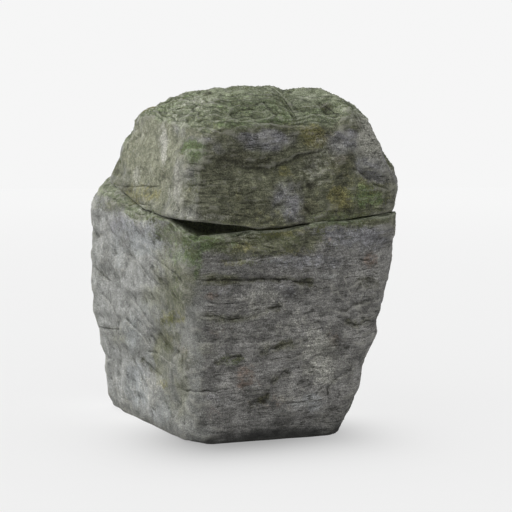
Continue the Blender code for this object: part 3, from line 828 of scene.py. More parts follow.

# Growth and stains that the picture shows, with painted light and shade: the dull patches and the dark ones in holes,
# pits and valleys are painted shade, the lit patches and the pale ones on the right rim and the lower right painted
# highlight. Each row: kind, position, half width and half height in pixels, strength
PATCHES = [
    ("green", 193, 151, 10, 13, 1.0), ("green", 196, 182, 8, 10, .3), ("green", 366, 197, 20, 13, .8),
    ("green", 196, 240, 24, 9, .75), ("green", 180, 252, 14, 16, .5), ("green", 197, 268, 6, 12, .7),
    ("green", 222, 244, 16, 8, .5), ("green", 165, 232, 14, 10, .45), ("green", 152, 218, 12, 10, .35),
    ("green", 285, 118, 18, 8, .5), ("green", 250, 106, 50, 12, .45), ("green", 320, 114, 20, 8, .4),
    ("green", 134, 210, 16, 6, .4), ("green", 165, 106, 16, 8, .5), ("green", 230, 360, 14, 6, .45),
    ("green", 168, 346, 6, 6, .4), ("green", 340, 218, 30, 8, .5), ("green", 262, 262, 30, 4, .35),
    ("yellow", 314, 137, 17, 13, .95), ("yellow", 284, 172, 11, 7, .7), ("yellow", 338, 198, 12, 17, .85),
    ("yellow", 385, 196, 9, 8, .4), ("yellow", 246, 248, 16, 7, .6), ("yellow", 172, 317, 14, 9, .6),
    ("yellow", 163, 384, 7, 6, .7), ("yellow", 142, 195, 22, 12, .6), ("yellow", 212, 130, 10, 9, .35),
    ("yellow", 286, 232, 30, 5, .5), ("yellow", 235, 262, 16, 5, .5), ("yellow", 290, 252, 24, 6, .45),
    ("yellow", 190, 192, 10, 10, .3), ("yellow", 128, 158, 10, 10, .3), ("yellow", 292, 126, 12, 5, .4),
    ("yellow", 360, 150, 14, 10, .15), ("yellow", 240, 195, 14, 7, .35), ("yellow", 330, 230, 30, 4, .35),
    ("violet", 262, 139, 27, 17, .95), ("violet", 288, 200, 16, 21, .95), ("violet", 222, 148, 12, 8, .6),
    ("violet", 343, 140, 13, 15, .7), ("violet", 372, 170, 16, 16, .7), ("violet", 350, 235, 46, 14, .8),
    ("violet", 305, 261, 50, 8, .6), ("violet", 130, 226, 26, 16, .55), ("violet", 206, 132, 6, 10, .6),
    ("violet", 190, 176, 8, 9, .5), ("violet", 284, 292, 12, 8, .5), ("violet", 316, 172, 9, 10, .5),
    ("violet", 148, 243, 26, 6, .5), ("violet", 138, 375, 10, 14, .4), ("violet", 312, 405, 12, 14, .4),
    ("violet", 262, 288, 26, 8, .4), ("violet", 225, 290, 16, 6, .3), ("violet", 215, 400, 18, 12, .3),
    ("brown", 343, 164, 14, 10, .85), ("brown", 245, 377, 13, 15, .6), ("brown", 372, 260, 9, 8, .6),
    ("brown", 167, 340, 6, 6, .7), ("brown", 212, 296, 9, 6, .5), ("brown", 310, 207, 8, 10, .7),
    ("brown", 162, 172, 14, 14, .35), ("brown", 336, 338, 10, 8, .5), ("brown", 276, 402, 24, 8, .35),
    ("brown", 180, 350, 12, 8, .3), ("brown", 300, 350, 10, 8, .3), ("brown", 209, 413, 12, 8, .35),
    ("brown", 222, 333, 14, 6, .3), ("brown", 318, 240, 18, 6, .35), ("brown", 127, 190, 9, 6, .4),
    ("pale", 164, 143, 5, 16, .95), ("pale", 137, 174, 4, 11, .7), ("pale", 177, 190, 9, 28, .6),
    ("pale", 206, 217, 36, 4, .65), ("pale", 150, 384, 14, 22, .6), ("pale", 132, 398, 10, 16, .45),
    ("pale", 172, 410, 12, 12, .3), ("pale", 316, 290, 22, 14, .45), ("pale", 300, 385, 14, 26, .35),
    ("pale", 310, 330, 16, 30, .35), ("pale", 142, 218, 6, 16, .6), ("pale", 190, 100, 18, 8, .6),
    ("pale", 142, 134, 10, 9, .4), ("pale", 178, 118, 10, 12, .5), ("pale", 120, 262, 12, 20, .35),
    ("pale", 104, 240, 7, 26, .4), ("pale", 128, 320, 16, 18, .3), ("pale", 366, 120, 14, 20, .9),
    ("pale", 380, 146, 9, 18, .9), ("pale", 262, 300, 26, 18, .45), ("pale", 320, 352, 18, 34, .6), ("pale", 310, 96, 20, 6, .4), ("pale", 240, 270, 26, 5, .35),
    ("pale", 270, 325, 24, 8, .35), ("pale", 215, 345, 30, 5, .35), ("pale", 362, 335, 12, 12, .3),
    ("pale", 150, 345, 6, 14, .5), ("pale", 250, 415, 14, 10, .2),
    ("dark", 232, 160, 24, 12, .9), ("dark", 243, 141, 10, 8, .7), ("dark", 208, 93, 6, 4, .8),
    ("dark", 327, 107, 7, 5, 1.0), ("dark", 265, 161, 14, 6, .9), ("dark", 368, 282, 12, 9, .8),
    ("dark", 262, 400, 8, 7, .7), ("dark", 222, 281, 20, 6, .7), ("dark", 308, 282, 9, 5, .8),
    ("dark", 278, 308, 9, 6, .6), ("dark", 222, 174, 26, 10, .5), ("dark", 228, 198, 22, 10, .45),
    ("dark", 296, 135, 5, 10, .6), ("dark", 311, 186, 7, 5, .9), ("dark", 308, 210, 12, 8, .6),
    ("dark", 283, 347, 16, 8, .6), ("dark", 275, 380, 9, 8, .5), ("dark", 346, 322, 8, 4, .7),
    ("dark", 302, 384, 6, 5, .5), ("dark", 217, 323, 20, 8, .4), ("dark", 226, 332, 14, 6, .4),
    ("dark", 322, 420, 26, 9, .4), ("dark", 325, 390, 7, 12, .5), ("dark", 116, 340, 7, 9, .4),
    ("dark", 340, 290, 10, 8, .4), ("dark", 350, 350, 12, 6, .4), ("dark", 205, 305, 14, 8, .35),
    ("dark", 200, 362, 14, 6, .35), ("dark", 255, 365, 14, 6, .3), ("dark", 386, 200, 8, 12, .3),
    ("film", 150, 190, 46, 30, .5), ("film", 250, 180, 80, 46, .5), ("film", 190, 242, 44, 20, .7),
    ("film", 262, 242, 70, 17, .95), ("film", 178, 285, 24, 36, .9), ("film", 164, 350, 13, 36, .8),
    ("film", 352, 222, 40, 8, .8), ("film", 158, 300, 16, 24, .5), ("film", 300, 255, 26, 9, .6),
    ("painted_shade", 188, 350, 13, 80, .7), ("dark", 200, 160, 10, 40, .35), ("dark", 204, 205, 14, 14, .4),
    ("pale", 374, 134, 18, 30, 1.3), ("pale", 315, 165, 14, 20, .55), ("pale", 262, 300, 28, 22, .7),
    ("pale", 322, 355, 20, 36, .9), ("pale", 285, 332, 16, 12, .6), ("pale", 125, 400, 14, 18, .6),
    ("film", 330, 190, 50, 36, .5), ("yellow", 350, 190, 40, 30, .35), ("yellow", 262, 215, 40, 12, .3),
    ("film", 145, 150, 40, 40, .8), ("film", 178, 380, 18, 40, .5), ("film", 118, 335, 12, 12, .5), ("film", 222, 281, 28, 9, .8), ("film", 225, 318, 40, 6, .6),
    ("film", 300, 345, 16, 8, .5), ("film", 206, 340, 14, 30, .3), ("film", 126, 205, 22, 10, .6),
]
# painted shade over the rounded corner between the pale side and the front, where it turns from the light, darker than
# either side
PATCHES += [("painted_shade", 177, 350, 17, 95, 1.0), ("painted_shade", 188, 258, 12, 40, .6), ("painted_shade", 160, 330, 12, 46, .6),
            ("painted_shade", 188, 415, 18, 24, .8), ("painted_shade", 138, 340, 10, 30, .2), ("painted_shade", 170, 425, 30, 10, .5)]
KINDS = ("green", "yellow", "violet", "brown", "pale", "dark", "film", "painted_shade")
# more patches: the dull ones and the dark ones along the shoulder's valley are painted shade, the lit ones painted
# highlight
PATCHES += [("painted_shade", 185, 358, 9, 20, 1.3), ("painted_shade", 184, 410, 12, 12, 1.2), ("painted_shade", 142, 424, 20, 8, 1.0),
            ("painted_shade", 202, 216, 12, 12, 1.1), ("painted_shade", 161, 214, 12, 8, .9), ("painted_shade", 122, 202, 24, 8, .8),
            ("painted_shade", 112, 168, 12, 26, 1.2), ("painted_shade", 176, 178, 12, 14, .8), ("painted_shade", 178, 205, 14, 12, .8), ("painted_shade", 195, 150, 12, 26, .9), ("painted_shade", 170, 228, 10, 10, .6),
            ("painted_shade", 206, 120, 16, 12, .6), ("pale", 330, 152, 20, 22, .6), ("pale", 312, 180, 14, 12, .5),
            ("pale", 272, 346, 16, 10, .7), ("pale", 300, 320, 14, 12, .6), ("pale", 308, 352, 14, 22, .5),
            ("pale", 164, 145, 4, 22, 1.1), ("pale", 138, 175, 4, 12, .7), ("pale", 177, 186, 5, 26, 1.0),
            ("pale", 250, 238, 24, 5, .5), ("pale", 288, 398, 16, 10, .6), ("painted_shade", 260, 126, 60, 6, .5),
            ("frost", 148, 244, 20, 12, 1.3), ("frost", 134, 228, 16, 14, .8), ("frost", 132, 335, 10, 22, .9),
            ("frost", 136, 386, 12, 26, 1.1), ("frost", 152, 362, 8, 18, .7), ("frost", 162, 412, 10, 18, .8),
            ("frost", 118, 250, 8, 26, .6), ("frost", 146, 308, 14, 10, .6), ("frost", 308, 404, 12, 10, .6),
            ("frost", 326, 272, 16, 12, .5), ("frost", 262, 290, 16, 6, .4), ("frost", 340, 240, 20, 8, .5),
            ("lit", 308, 340, 22, 54, .75), ("lit", 262, 300, 20, 18, .45), ("lit", 272, 346, 20, 12, .7),
            ("lit", 254, 396, 20, 10, .7), ("lit", 322, 162, 22, 26, .75), ("lit", 290, 204, 18, 14, .7),
            ("lit", 252, 238, 34, 9, .7), ("lit", 232, 380, 10, 10, .9), ("lit", 370, 262, 16, 20, .7),
            ("lit", 358, 332, 12, 22, .8), ("lit", 268, 284, 18, 10, .8), ("lit", 320, 268, 22, 10, .6),
            ("lit", 150, 412, 8, 10, .6), ("lit", 236, 96, 12, 10, .5), ("lit", 366, 190, 14, 12, .5),
            ("painted_shade", 192, 160, 9, 30, 1.1), ("dark", 140, 215, 9, 5, .6), ("painted_shade", 126, 189, 8, 8, 1.2),
            ("painted_shade", 206, 214, 16, 10, .9), ("dark", 186, 362, 8, 9, .7), ("painted_shade", 266, 128, 14, 12, .9), ("painted_shade", 352, 122, 10, 10, .9),
            ("painted_shade", 210, 120, 12, 10, .8), ("painted_shade", 200, 142, 9, 14, .8), ("painted_shade", 326, 414, 16, 12, .7),
            ("painted_shade", 348, 364, 12, 9, .8), ("painted_shade", 212, 264, 10, 8, .6), ("painted_shade", 232, 334, 12, 8, .6),
            ("painted_shade", 172, 408, 12, 10, .9), ("painted_shade", 346, 236, 12, 10, .6), ("painted_shade", 360, 284, 12, 8, .5),
            ("vein", 350, 300, 26, 30, 1.0), ("vein", 356, 345, 20, 24, .8), ("vein", 335, 262, 24, 12, .5),
            ("vein", 145, 250, 26, 10, .5), ("vein", 322, 165, 12, 12, .5), ("vein", 350, 380, 10, 26, .5),
            ("film", 205, 128, 20, 9, 1.0), ("film", 240, 127, 30, 7, 1.0), ("film", 285, 124, 30, 8, 1.0),
            ("film", 335, 124, 24, 8, .9), ("green", 232, 124, 22, 5, .6), ("green", 270, 122, 26, 5, .6),
            ("film", 168, 300, 14, 60, .7), ("green", 176, 285, 8, 26, .35), ("green", 171, 318, 10, 12, .3),
            ("dark", 128, 190, 9, 4, .55), ("dark", 138, 199, 9, 4, .55), ("dark", 119, 183, 5, 4, .5),
            ("green", 202, 243, 20, 8, 1.0), ("green", 190, 257, 12, 10, .85)]
masks = {k: np.zeros(len(co)) for k in KINDS + ("vein", "frost", "lit")}
rag_x = 6 * noise(world / .045, 81) + 4 * noise(world / .018, 82)
rag_y = 6 * noise(world / .045, 101) + 4 * noise(world / .018, 102)
back, back_lie = turned(world, lie)
x_back, y_back = pixels(back)
seen_back = ramp(facing(back, back_lie), .05, .3)
hold = ramp(facing(world, lie), -.05, .12)
for kind, cx, cy, wide, high, strength in PATCHES:
    free_x, free_y = min(1, wide / 13), min(1, high / 13)
    d = np.sqrt(((x + free_x * rag_x - cx) / wide) ** 2 + ((y + free_y * rag_y * .8 - cy) / high) ** 2)
    masks[kind] = np.maximum(masks[kind], strength * ramp(d, 1.45, .45) * (hold if kind == "painted_shade" else seen))
    if kind != "painted_shade":
        d = np.sqrt(((x_back + 1.6 * rag_y - cx + 14) / wide) ** 2 + ((y_back + 1.6 * rag_x - cy - 5) / high) ** 2)
        masks[kind] = np.maximum(masks[kind], .8 * strength * ramp(d, 1.45, .45) * seen_back)
away = 1 - seen
above = ramp(world[:, 2] - joint(world[:, 0], world[:, 1]), -.01, .02)
# the sides that the picture doesn't show carry the same growth, thickest near the top and below the joint


def wild(size, seed, low, high):
    return away * ramp(noise(world / size, seed) + .45 * noise(world / (size * .4), seed + 50), low, high)


masks["green"] = np.maximum(masks["green"], wild(.15, 83, .25, .7) * (.35 + .45 * above))
masks["yellow"] = np.maximum(masks["yellow"], wild(.10, 85, .30, .75) * (.35 + .45 * above))
masks["violet"] = np.maximum(masks["violet"], wild(.13, 87, .15, .6) * .85)
masks["brown"] = np.maximum(masks["brown"], wild(.09, 89, .40, .8) * .6)
masks["pale"] = np.maximum(masks["pale"], wild(.10, 90, .25, .7) * .5)
masks["dark"] = np.maximum(masks["dark"], wild(.08, 92, .35, .8) * .7)
masks["film"] = np.maximum(masks["film"], wild(.16, 93, .0, .6) * (.4 + .3 * above))
under_joint = joint(world[:, 0], world[:, 1]) - world[:, 2]
band = ramp(under_joint, .085, .01) * ramp(under_joint, -.02, .0)
film = .12 + .54 * above + .50 * top + .45 * band * (1 - .6 * left)
film = film + .14 * noise(world / .09, 91) + masks["film"] * .75 - masks["violet"] * .55 - .20 * left * above
film = np.clip(film, 0, 1)
masks["film"] = film
# dark stain round the placed cracks, partly painted shade, and painted shade in the open grooves of the unseen sides
_, _, dirt_and_shade, lines = all_marks(world, lie)
dirt_and_shade = dirt_and_shade * np.clip(.8 + .5 * noise(world / .02, 94), 0, 1)
s_here = bedding(world) + .006 * noise(world / .16, 51) + .0018 * noise(world / .05, 52)
_, open_here, _ = courses(world, s_here)
dirt_and_shade = np.maximum(dirt_and_shade, away * open_here * (1 - top) * .8)
# painted shade in the crease just under the bedding joint
dirt_and_shade = np.maximum(dirt_and_shade, .42 * np.exp(-((under_joint - .003) / .010) ** 2) * (.6 + .5 * noise(world / .04, 98)))
cavity = np.clip(sunk / .0045, -1, 1)
# painted shade: darker towards the ground, less on the left side that faces the light
foot = ramp(world[:, 2] + .018 * noise(world / .05, 106), .095, -.01) ** 1.3 * (1 - .65 * left)
for k in KINDS:
    put(mesh, k, masks[k])
put(mesh, "dirt_and_shade", dirt_and_shade)
put(mesh, "seam", lines[0])
put(mesh, "crack", lines[1])
put(mesh, "rim", lines[2])
put(mesh, "layer", layer(world, s_here))
put(mesh, "foot", foot)
rim_spread = smooth(top, 36) + .20 * noise(world / .040, 105) + .10 * noise(world / .016, 107)
crown_here = np.maximum(top, .75 * ramp(lie[:, 2], .25, .55)) * ramp(smooth(top, 20) + .14 * noise(world / .030, 108), .30, .62)
put(mesh, "top", np.maximum(crown_here, .85 * ramp(rim_spread, .18, .60)))
put(mesh, "lit", np.clip(masks["lit"], 0, 1))
put(mesh, "frost", np.maximum(masks["frost"], wild(.14, 110, .25, .8) * .7))
put(mesh, "vein", np.maximum(masks["vein"], wild(.12, 109, .30, .7)))
put(mesh, "left", left)
put(mesh, "upper", above)
put(mesh, "cavity", cavity)
put(mesh, "nick", np.clip(nick / .0009, -1, 1))


# ------------------------------------------------------------------ materials
class Nodes:
    """Short ways to wire a material."""

    def __init__(self, name):
        self.material = bpy.data.materials.new(name)
        self.material.use_nodes = True
        self.tree = self.material.node_tree
        self.shader = self.tree.nodes["Principled BSDF"]
        self.where = self.tree.nodes.new("ShaderNodeTexCoord").outputs["Object"]

    def _set(self, socket, value):
        if isinstance(value, bpy.types.NodeSocket):
            self.tree.links.new(value, socket)
        else:
            socket.default_value = value

    def mapped(self, size, shift=(0, 0, 0), turn=(0, 0, 0)):
        """The position in a turned frame, in units of size."""
        m = self.tree.nodes.new("ShaderNodeMapping")
        m.vector_type = "TEXTURE"
        self._set(m.inputs["Vector"], self.where)
        m.inputs["Scale"].default_value = size
        m.inputs["Location"].default_value = shift
        m.inputs["Rotation"].default_value = turn
        return m.outputs[0]

    def noise(self, scale, detail=4, rough=.55, vector=None, distort=0.0):
        n = self.tree.nodes.new("ShaderNodeTexNoise")
        self._set(n.inputs["Vector"], vector if vector is not None else self.where)
        n.inputs["Scale"].default_value = scale
        n.inputs["Detail"].default_value = detail
        n.inputs["Roughness"].default_value = rough
        n.inputs["Distortion"].default_value = distort
        return n.outputs["Fac"]

    def cell(self, scale, feature="F1", vector=None):
        n = self.tree.nodes.new("ShaderNodeTexVoronoi")
        n.feature = feature
        self._set(n.inputs["Vector"], vector if vector is not None else self.where)
        n.inputs["Scale"].default_value = scale
        return n.outputs["Distance"]

    def warped(self, scale, coarse, amount):
        """The position in units of 1 / scale, wavered by a coarser noise."""
        n = self.tree.nodes.new("ShaderNodeTexNoise")
        self._set(n.inputs["Vector"], self.where)
        n.inputs["Scale"].default_value = coarse
        n.inputs["Detail"].default_value = 5
        n.inputs["Roughness"].default_value = .7
        far = self.tree.nodes.new("ShaderNodeVectorMath")
        far.operation = "SCALE"
        self._set(far.inputs[0], self.where)
        far.inputs["Scale"].default_value = scale
        add = self.tree.nodes.new("ShaderNodeVectorMath")
        add.operation = "MULTIPLY_ADD"
        self._set(add.inputs[0], n.outputs["Color"])
        add.inputs[1].default_value = (amount, amount, amount)
        self._set(add.inputs[2], far.outputs[0])
        return add.outputs[0]

    def attr(self, name):
        n = self.tree.nodes.new("ShaderNodeAttribute")
        n.attribute_name = name
        return n.outputs["Fac"]

    def math(self, op, a, b=0.0, c=0.0, clamp=False):
        n = self.tree.nodes.new("ShaderNodeMath")
        n.operation = op
        n.use_clamp = clamp
        for s, v in zip(n.inputs, (a, b, c)):
            self._set(s, v)
        return n.outputs[0]

    def span(self, value, low, high, out_low=0.0, out_high=1.0):
        n = self.tree.nodes.new("ShaderNodeMapRange")
        n.interpolation_type = "SMOOTHSTEP"
        for s, v in zip(("Value", "From Min", "From Max", "To Min", "To Max"), (value, low, high, out_low, out_high)):
            self._set(n.inputs[s], v)
        return n.outputs[0]

    def mix(self, factor, a, b, mode="MIX"):
        n = self.tree.nodes.new("ShaderNodeMix")
        n.data_type = "RGBA"
        n.blend_type = mode
        self._set(n.inputs["Factor"], factor)
        self._set(n.inputs[6], a)
        self._set(n.inputs[7], b)
        return n.outputs[2]

    def bump(self, height, distance, strength=1.0, under=None):
        n = self.tree.nodes.new("ShaderNodeBump")
        n.inputs["Strength"].default_value = strength
        n.inputs["Distance"].default_value = distance
        self._set(n.inputs["Height"], height)
        if under is not None:
            self._set(n.inputs["Normal"], under)
        return n.outputs[0]


def tone(r, g, b):
    """An sRGB colour, 0 to 255, as the linear value that a socket takes."""
    out = []
    for c in (r, g, b):
        c = c / 255
        out.append(c / 12.92 if c <= .04045 else ((c + .055) / 1.055) ** 2.4)
    return (*out, 1)


DIP = (.176, -.06, 0)      # the beds' lie, as turns about X and Y
# colours, sRGB 0 to 255, each as a darker and a lighter tone that lie mottled
STONE_DARK, STONE_LIGHT = (110, 109, 106), (142, 141, 138)
PALE_DARK, PALE_LIGHT = (122, 123, 119), (148, 149, 146)
OLIVE_DARK, OLIVE_LIGHT = (78, 80, 58), (109, 111, 87)
CROWN_DARK, CROWN_LIGHT = (89, 96, 75), (131, 137, 115)


def stone_material():
    m = Nodes("weathered_stone")
    a = {k: m.attr(k) for k in KINDS + ("dirt_and_shade", "foot", "top", "left", "upper", "cavity", "nick", "seam", "crack",
                                        "rim", "layer", "vein", "frost", "lit")}
    mid = m.noise(17, 5, .62)
    small = m.noise(52, 5, .66)
    fine = m.noise(150, 4, .72)
    grain = m.noise(300, 3, .72)
    dust = m.noise(430, 2, .6)
    beds = m.noise(1, 5, .72, m.mapped((.060, .060, .0105), turn=DIP))
    thin = m.noise(1, 3, .5, m.mapped((.15, .15, .0140), (3, 7, 1), DIP), .3)
    hair = m.noise(1, 4, .62, m.mapped((.024, .024, .0034), (1, 5, 2), DIP), .25)
    vein = m.cell(1, "DISTANCE_TO_EDGE", m.warped(21, 9, .9))
    where_thin = m.noise(8, 3, .6)
    runs = m.noise(1, 5, .65, m.mapped((.0135, .0135, .11)))
    wall = m.math("MULTIPLY", m.math("SUBTRACT", 1.0, a["left"]), m.math("SUBTRACT", 1.0, a["top"]))
    line = m.span(m.math("ABSOLUTE", m.math("SUBTRACT", thin, .5)), .003, .017, 1, 0)
    line = m.math("MULTIPLY", line, m.span(where_thin, .42, .58))
    line = m.math("MULTIPLY", line, m.math("ADD", m.math("MULTIPLY", wall, .85), .15))

    # placed cracks and ledges: the distance to the line, a little ragged, gives a crisp edge, with painted shade in the
    # cracks and under the ledges and a painted highlight along the ledges' edges
    far = m.math("ADD", a["seam"], m.span(fine, .3, .7, -1.3, 1.3))
    broken = m.span(m.noise(38, 3, .6), .36, .60, .25, 1)
    split = m.math("MULTIPLY", m.math("MULTIPLY", m.span(m.math("ABSOLUTE", far), .5, 2.6, 1, 0), a["crack"]), broken)
    under = m.math("MULTIPLY", m.math("MULTIPLY", m.span(far, -6.0, -1.0), m.span(far, .1, 1.4, 1, 0)), a["rim"])
    under = m.math("MULTIPLY", under, broken)
    painted_brink_highlight = m.math("MULTIPLY", m.math("MULTIPLY", m.span(far, .4, 1.6), m.span(far, 3.0, 5.0, 1, 0)), a["rim"])
    # the crown's layers: painted shade, a dark line under each one's edge
    part = m.math("FRACT", m.math("ADD", a["layer"], m.span(fine, .3, .7, -.05, .05)))
    scale = m.math("MULTIPLY", m.span(part, .70, .84), m.span(part, .90, .99, 1, 0))
    scale = m.math("MULTIPLY", m.math("MULTIPLY", scale, a["top"]), m.span(m.noise(20, 3, .6), .36, .52))

    def pair(pattern, dark, light, low=.34, high=.66):
        return m.mix(m.span(pattern, low, high), tone(*dark), tone(*light))

    def patch(base, mask, colour, noise_, amount=.22, low=.20, high=.80, most=.9):
        return m.mix(m.span(m.math("ADD", mask, m.span(noise_, .3, .7, -amount, amount)), low, high, 0, most), base, colour)

    # stone: cool grey, a little lighter on the pale side
    base = m.mix(a["left"], pair(mid, STONE_DARK, STONE_LIGHT), pair(mid, PALE_DARK, PALE_LIGHT))
    base = patch(base, a["violet"], pair(small, (112, 112, 114), (146, 146, 149)), small, .25)
    base = patch(base, a["brown"], pair(small, (88, 79, 72), (122, 109, 100)), small, .3)
    # a thin film of algae, and thicker green and yellow growth
    base = patch(base, a["frost"], pair(mid, (124, 128, 128), (149, 153, 153)), mid, .25, .25, 1.1, .62)
    olive = m.mix(a["left"], pair(small, OLIVE_DARK, OLIVE_LIGHT), pair(small, (97, 99, 78), (126, 127, 107)))
    base = patch(base, a["film"], olive, mid, .22, .22, .95, .88)
    crown = pair(m.math("ADD", m.math("MULTIPLY", small, .6), m.math("MULTIPLY", mid, .4)), CROWN_DARK, CROWN_LIGHT, .33, .67)
    base = m.mix(m.span(m.math("ADD", a["top"], m.span(small, .3, .7, -.2, .2)), .25, .75, 0, .9), base, crown)
    base = patch(base, a["yellow"], pair(fine, (98, 95, 54), (132, 127, 82)), small, .35, .3, 1.0, .8)
    base = patch(base, a["green"], pair(fine, (74, 90, 56), (112, 130, 88)), small, .3, .25, 1.0, .85)
    # pale patches: paler stone, and a painted highlight on the right rim and the lower right
    base = patch(base, a["pale"], pair(fine, (142, 142, 133), (172, 171, 163)), small, .3, .3, 1.1, .75)
    # dark patches: dark stains, and painted shade in holes, pits and valleys
    base = patch(base, a["dark"], pair(fine, (54, 54, 42), (84, 83, 68)), small, .25, .3, 1.0, .75)
    # dark stain round the cracks, and painted shade in open grooves and under the joint
    base = patch(base, a["dirt_and_shade"], pair(fine, (54, 55, 38), (84, 84, 64)), small, .3, .25, 1.05, .72)
    # light and shade of the surface itself, coarse to fine, without a change of hue
    calm = m.math("MAXIMUM", m.math("MAXIMUM", m.math("MULTIPLY", a["top"], .40), m.math("MULTIPLY", a["left"], .50)), m.math("MULTIPLY", a["pale"], .50), clamp=True)
    calm = m.math("SUBTRACT", 1.0, calm, clamp=True)
    for v in (m.span(mid, .32, .68, .90, 1.10), m.span(small, .32, .68, .86, 1.13), m.span(fine, .32, .68, .80, 1.18)):
        base = m.mix(calm, base, m.mix(1.0, base, v, "MULTIPLY"))
    for v in (m.span(grain, .33, .67, .71, 1.27), m.span(dust, .35, .65, .70, 1.30)):
        base = m.mix(1.0, base, v, "MULTIPLY")
    base = m.mix(wall, base, m.mix(1.0, base, m.span(beds, .34, .66, .84, 1.12), "MULTIPLY"))
    base = m.mix(wall, base, m.mix(1.0, base, m.span(hair, .32, .66, .76, 1.16), "MULTIPLY"))
    # painted shade in the hairline fissures of the beds
    base = m.mix(m.math("MULTIPLY", m.math("MULTIPLY", m.span(hair, .40, .33), wall), m.span(where_thin, .62, .40)), base, tone(46, 46, 37))
    base = m.mix(a["left"], base, m.mix(1.0, base, m.span(runs, .34, .66, .86, 1.12), "MULTIPLY"))
    # painted shade: the colour is darkened by a third, without a change of hue, under these patches
    base = m.mix(m.math("MULTIPLY", a["painted_shade"], .90, clamp=True), base, m.mix(1.0, base, (.70, .70, .68, 1), "MULTIPLY"))
    # painted highlight: the colour is lightened where the lit patches lie
    base = m.mix(a["lit"], base, m.mix(1.0, base, (1.32, 1.32, 1.32, 1), "MULTIPLY"))
    # painted shade in the fine fissures
    base = m.mix(m.math("MULTIPLY", line, .76), base, tone(40, 40, 31))
    pale_line = m.math("MULTIPLY", m.span(vein, .020, .065, 1, 0), m.math("MULTIPLY", a["vein"], m.span(small, .40, .60)))
    base = m.mix(m.math("MULTIPLY", pale_line, .80, clamp=True), base, tone(166, 165, 157))
    # painted shade in the placed cracks, weaker on the lit left side; painted shade under the ledges and a painted
    # highlight along their edges
    base = m.mix(m.math("MULTIPLY", m.math("MULTIPLY", split, .72), m.math("SUBTRACT", 1.0, m.math("MULTIPLY", a["left"], .55)), clamp=True), base, tone(34, 34, 26))
    base = m.mix(m.math("MULTIPLY", under, .34, clamp=True), base, tone(44, 44, 35))
    base = m.mix(m.math("MULTIPLY", painted_brink_highlight, .22, clamp=True), base, tone(170, 169, 160))
    # painted shade under the edges of the crown's layers
    base = m.mix(m.math("MULTIPLY", scale, .58), base, tone(40, 44, 32))
    base = m.mix(m.span(grain, .64, .72, 0, .5), base, tone(176, 175, 168))
    base = m.mix(m.span(grain, .36, .28, 0, .5), base, tone(40, 40, 34))
    # painted shade in the hollows and small creases, painted highlight on raised spots and small ridges, and painted
    # shade that darkens the stone towards the ground, less on the lit left side
    base = m.mix(m.span(a["cavity"], .15, 1.0, 0, .42), base, tone(44, 44, 34))
    base = m.mix(m.span(a["cavity"], -.25, -1.0, 0, .16), base, tone(168, 168, 158))
    base = m.mix(m.span(a["nick"], .3, 1, 0, .42), base, tone(36, 36, 29))
    base = m.mix(m.span(a["nick"], -.4, -1, 0, .22), base, tone(165, 164, 154))
    base = m.mix(m.math("MULTIPLY", a["foot"], .90), base, tone(38, 39, 38))
    base = m.mix(m.math("MULTIPLY", m.span(a["foot"], .60, 1.0), .35), base, tone(20, 20, 19))
    m._set(m.shader.inputs["Base Color"], base)
    m._set(m.shader.inputs["Roughness"], m.span(fine, .3, .7, .82, .96))
    m.shader.inputs["Specular IOR Level"].default_value = .25
    height = m.math("ADD", m.math("MULTIPLY", fine, .8), m.math("MULTIPLY", grain, .4))
    height = m.math("ADD", height, m.math("MULTIPLY", small, 1.3))
    height = m.math("ADD", height, m.math("MULTIPLY", m.math("MULTIPLY", beds, wall), .9))
    height = m.math("SUBTRACT", height, m.math("MULTIPLY", line, .45))
    height = m.math("SUBTRACT", height, m.math("MULTIPLY", split, .9))
    height = m.math("SUBTRACT", height, m.math("MULTIPLY", under, .35))
    height = m.math("SUBTRACT", height, m.math("MULTIPLY", scale, .6))
    m._set(m.shader.inputs["Normal"], m.bump(height, .004, .9))
    return m.material


def moss_material():
    m = Nodes("moss_leaf")
    shade, gold = m.attr("shade"), m.attr("gold")
    fine = m.noise(160, 3, .6)
    broad = m.noise(14, 4, .6)
    base = m.mix(m.span(fine, .35, .65), tone(86, 95, 66), tone(114, 122, 90))
    base = m.mix(m.span(broad, .4, .65, 0, .6), base, tone(124, 126, 96))
    base = m.mix(gold, base, tone(140, 136, 82))
    base = m.mix(shade, tone(76, 84, 54), base)
    m._set(m.shader.inputs["Base Color"], base)
    m.shader.inputs["Roughness"].default_value = .85
    m.shader.inputs["Specular IOR Level"].default_value = .2
    m._set(m.shader.inputs["Normal"], m.bump(fine, .0006, .5))
    return m.material


mesh.materials.clear()
mesh.materials.append(stone_material())
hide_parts("stone")
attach(stone, "root")


# ------------------------------------------------------------------ moss: tufts of small leaves on the stone
mesh.calc_loop_triangles()
tri = np.empty(len(mesh.loop_triangles) * 3, np.int32)
mesh.loop_triangles.foreach_get("vertices", tri)
tri = tri.reshape(-1, 3)
A, B, C = co[tri[:, 0]], co[tri[:, 1]], co[tri[:, 2]]
area = np.linalg.norm(np.cross(B - A, C - A), axis=1) / 2
leaf_green = moss_material()


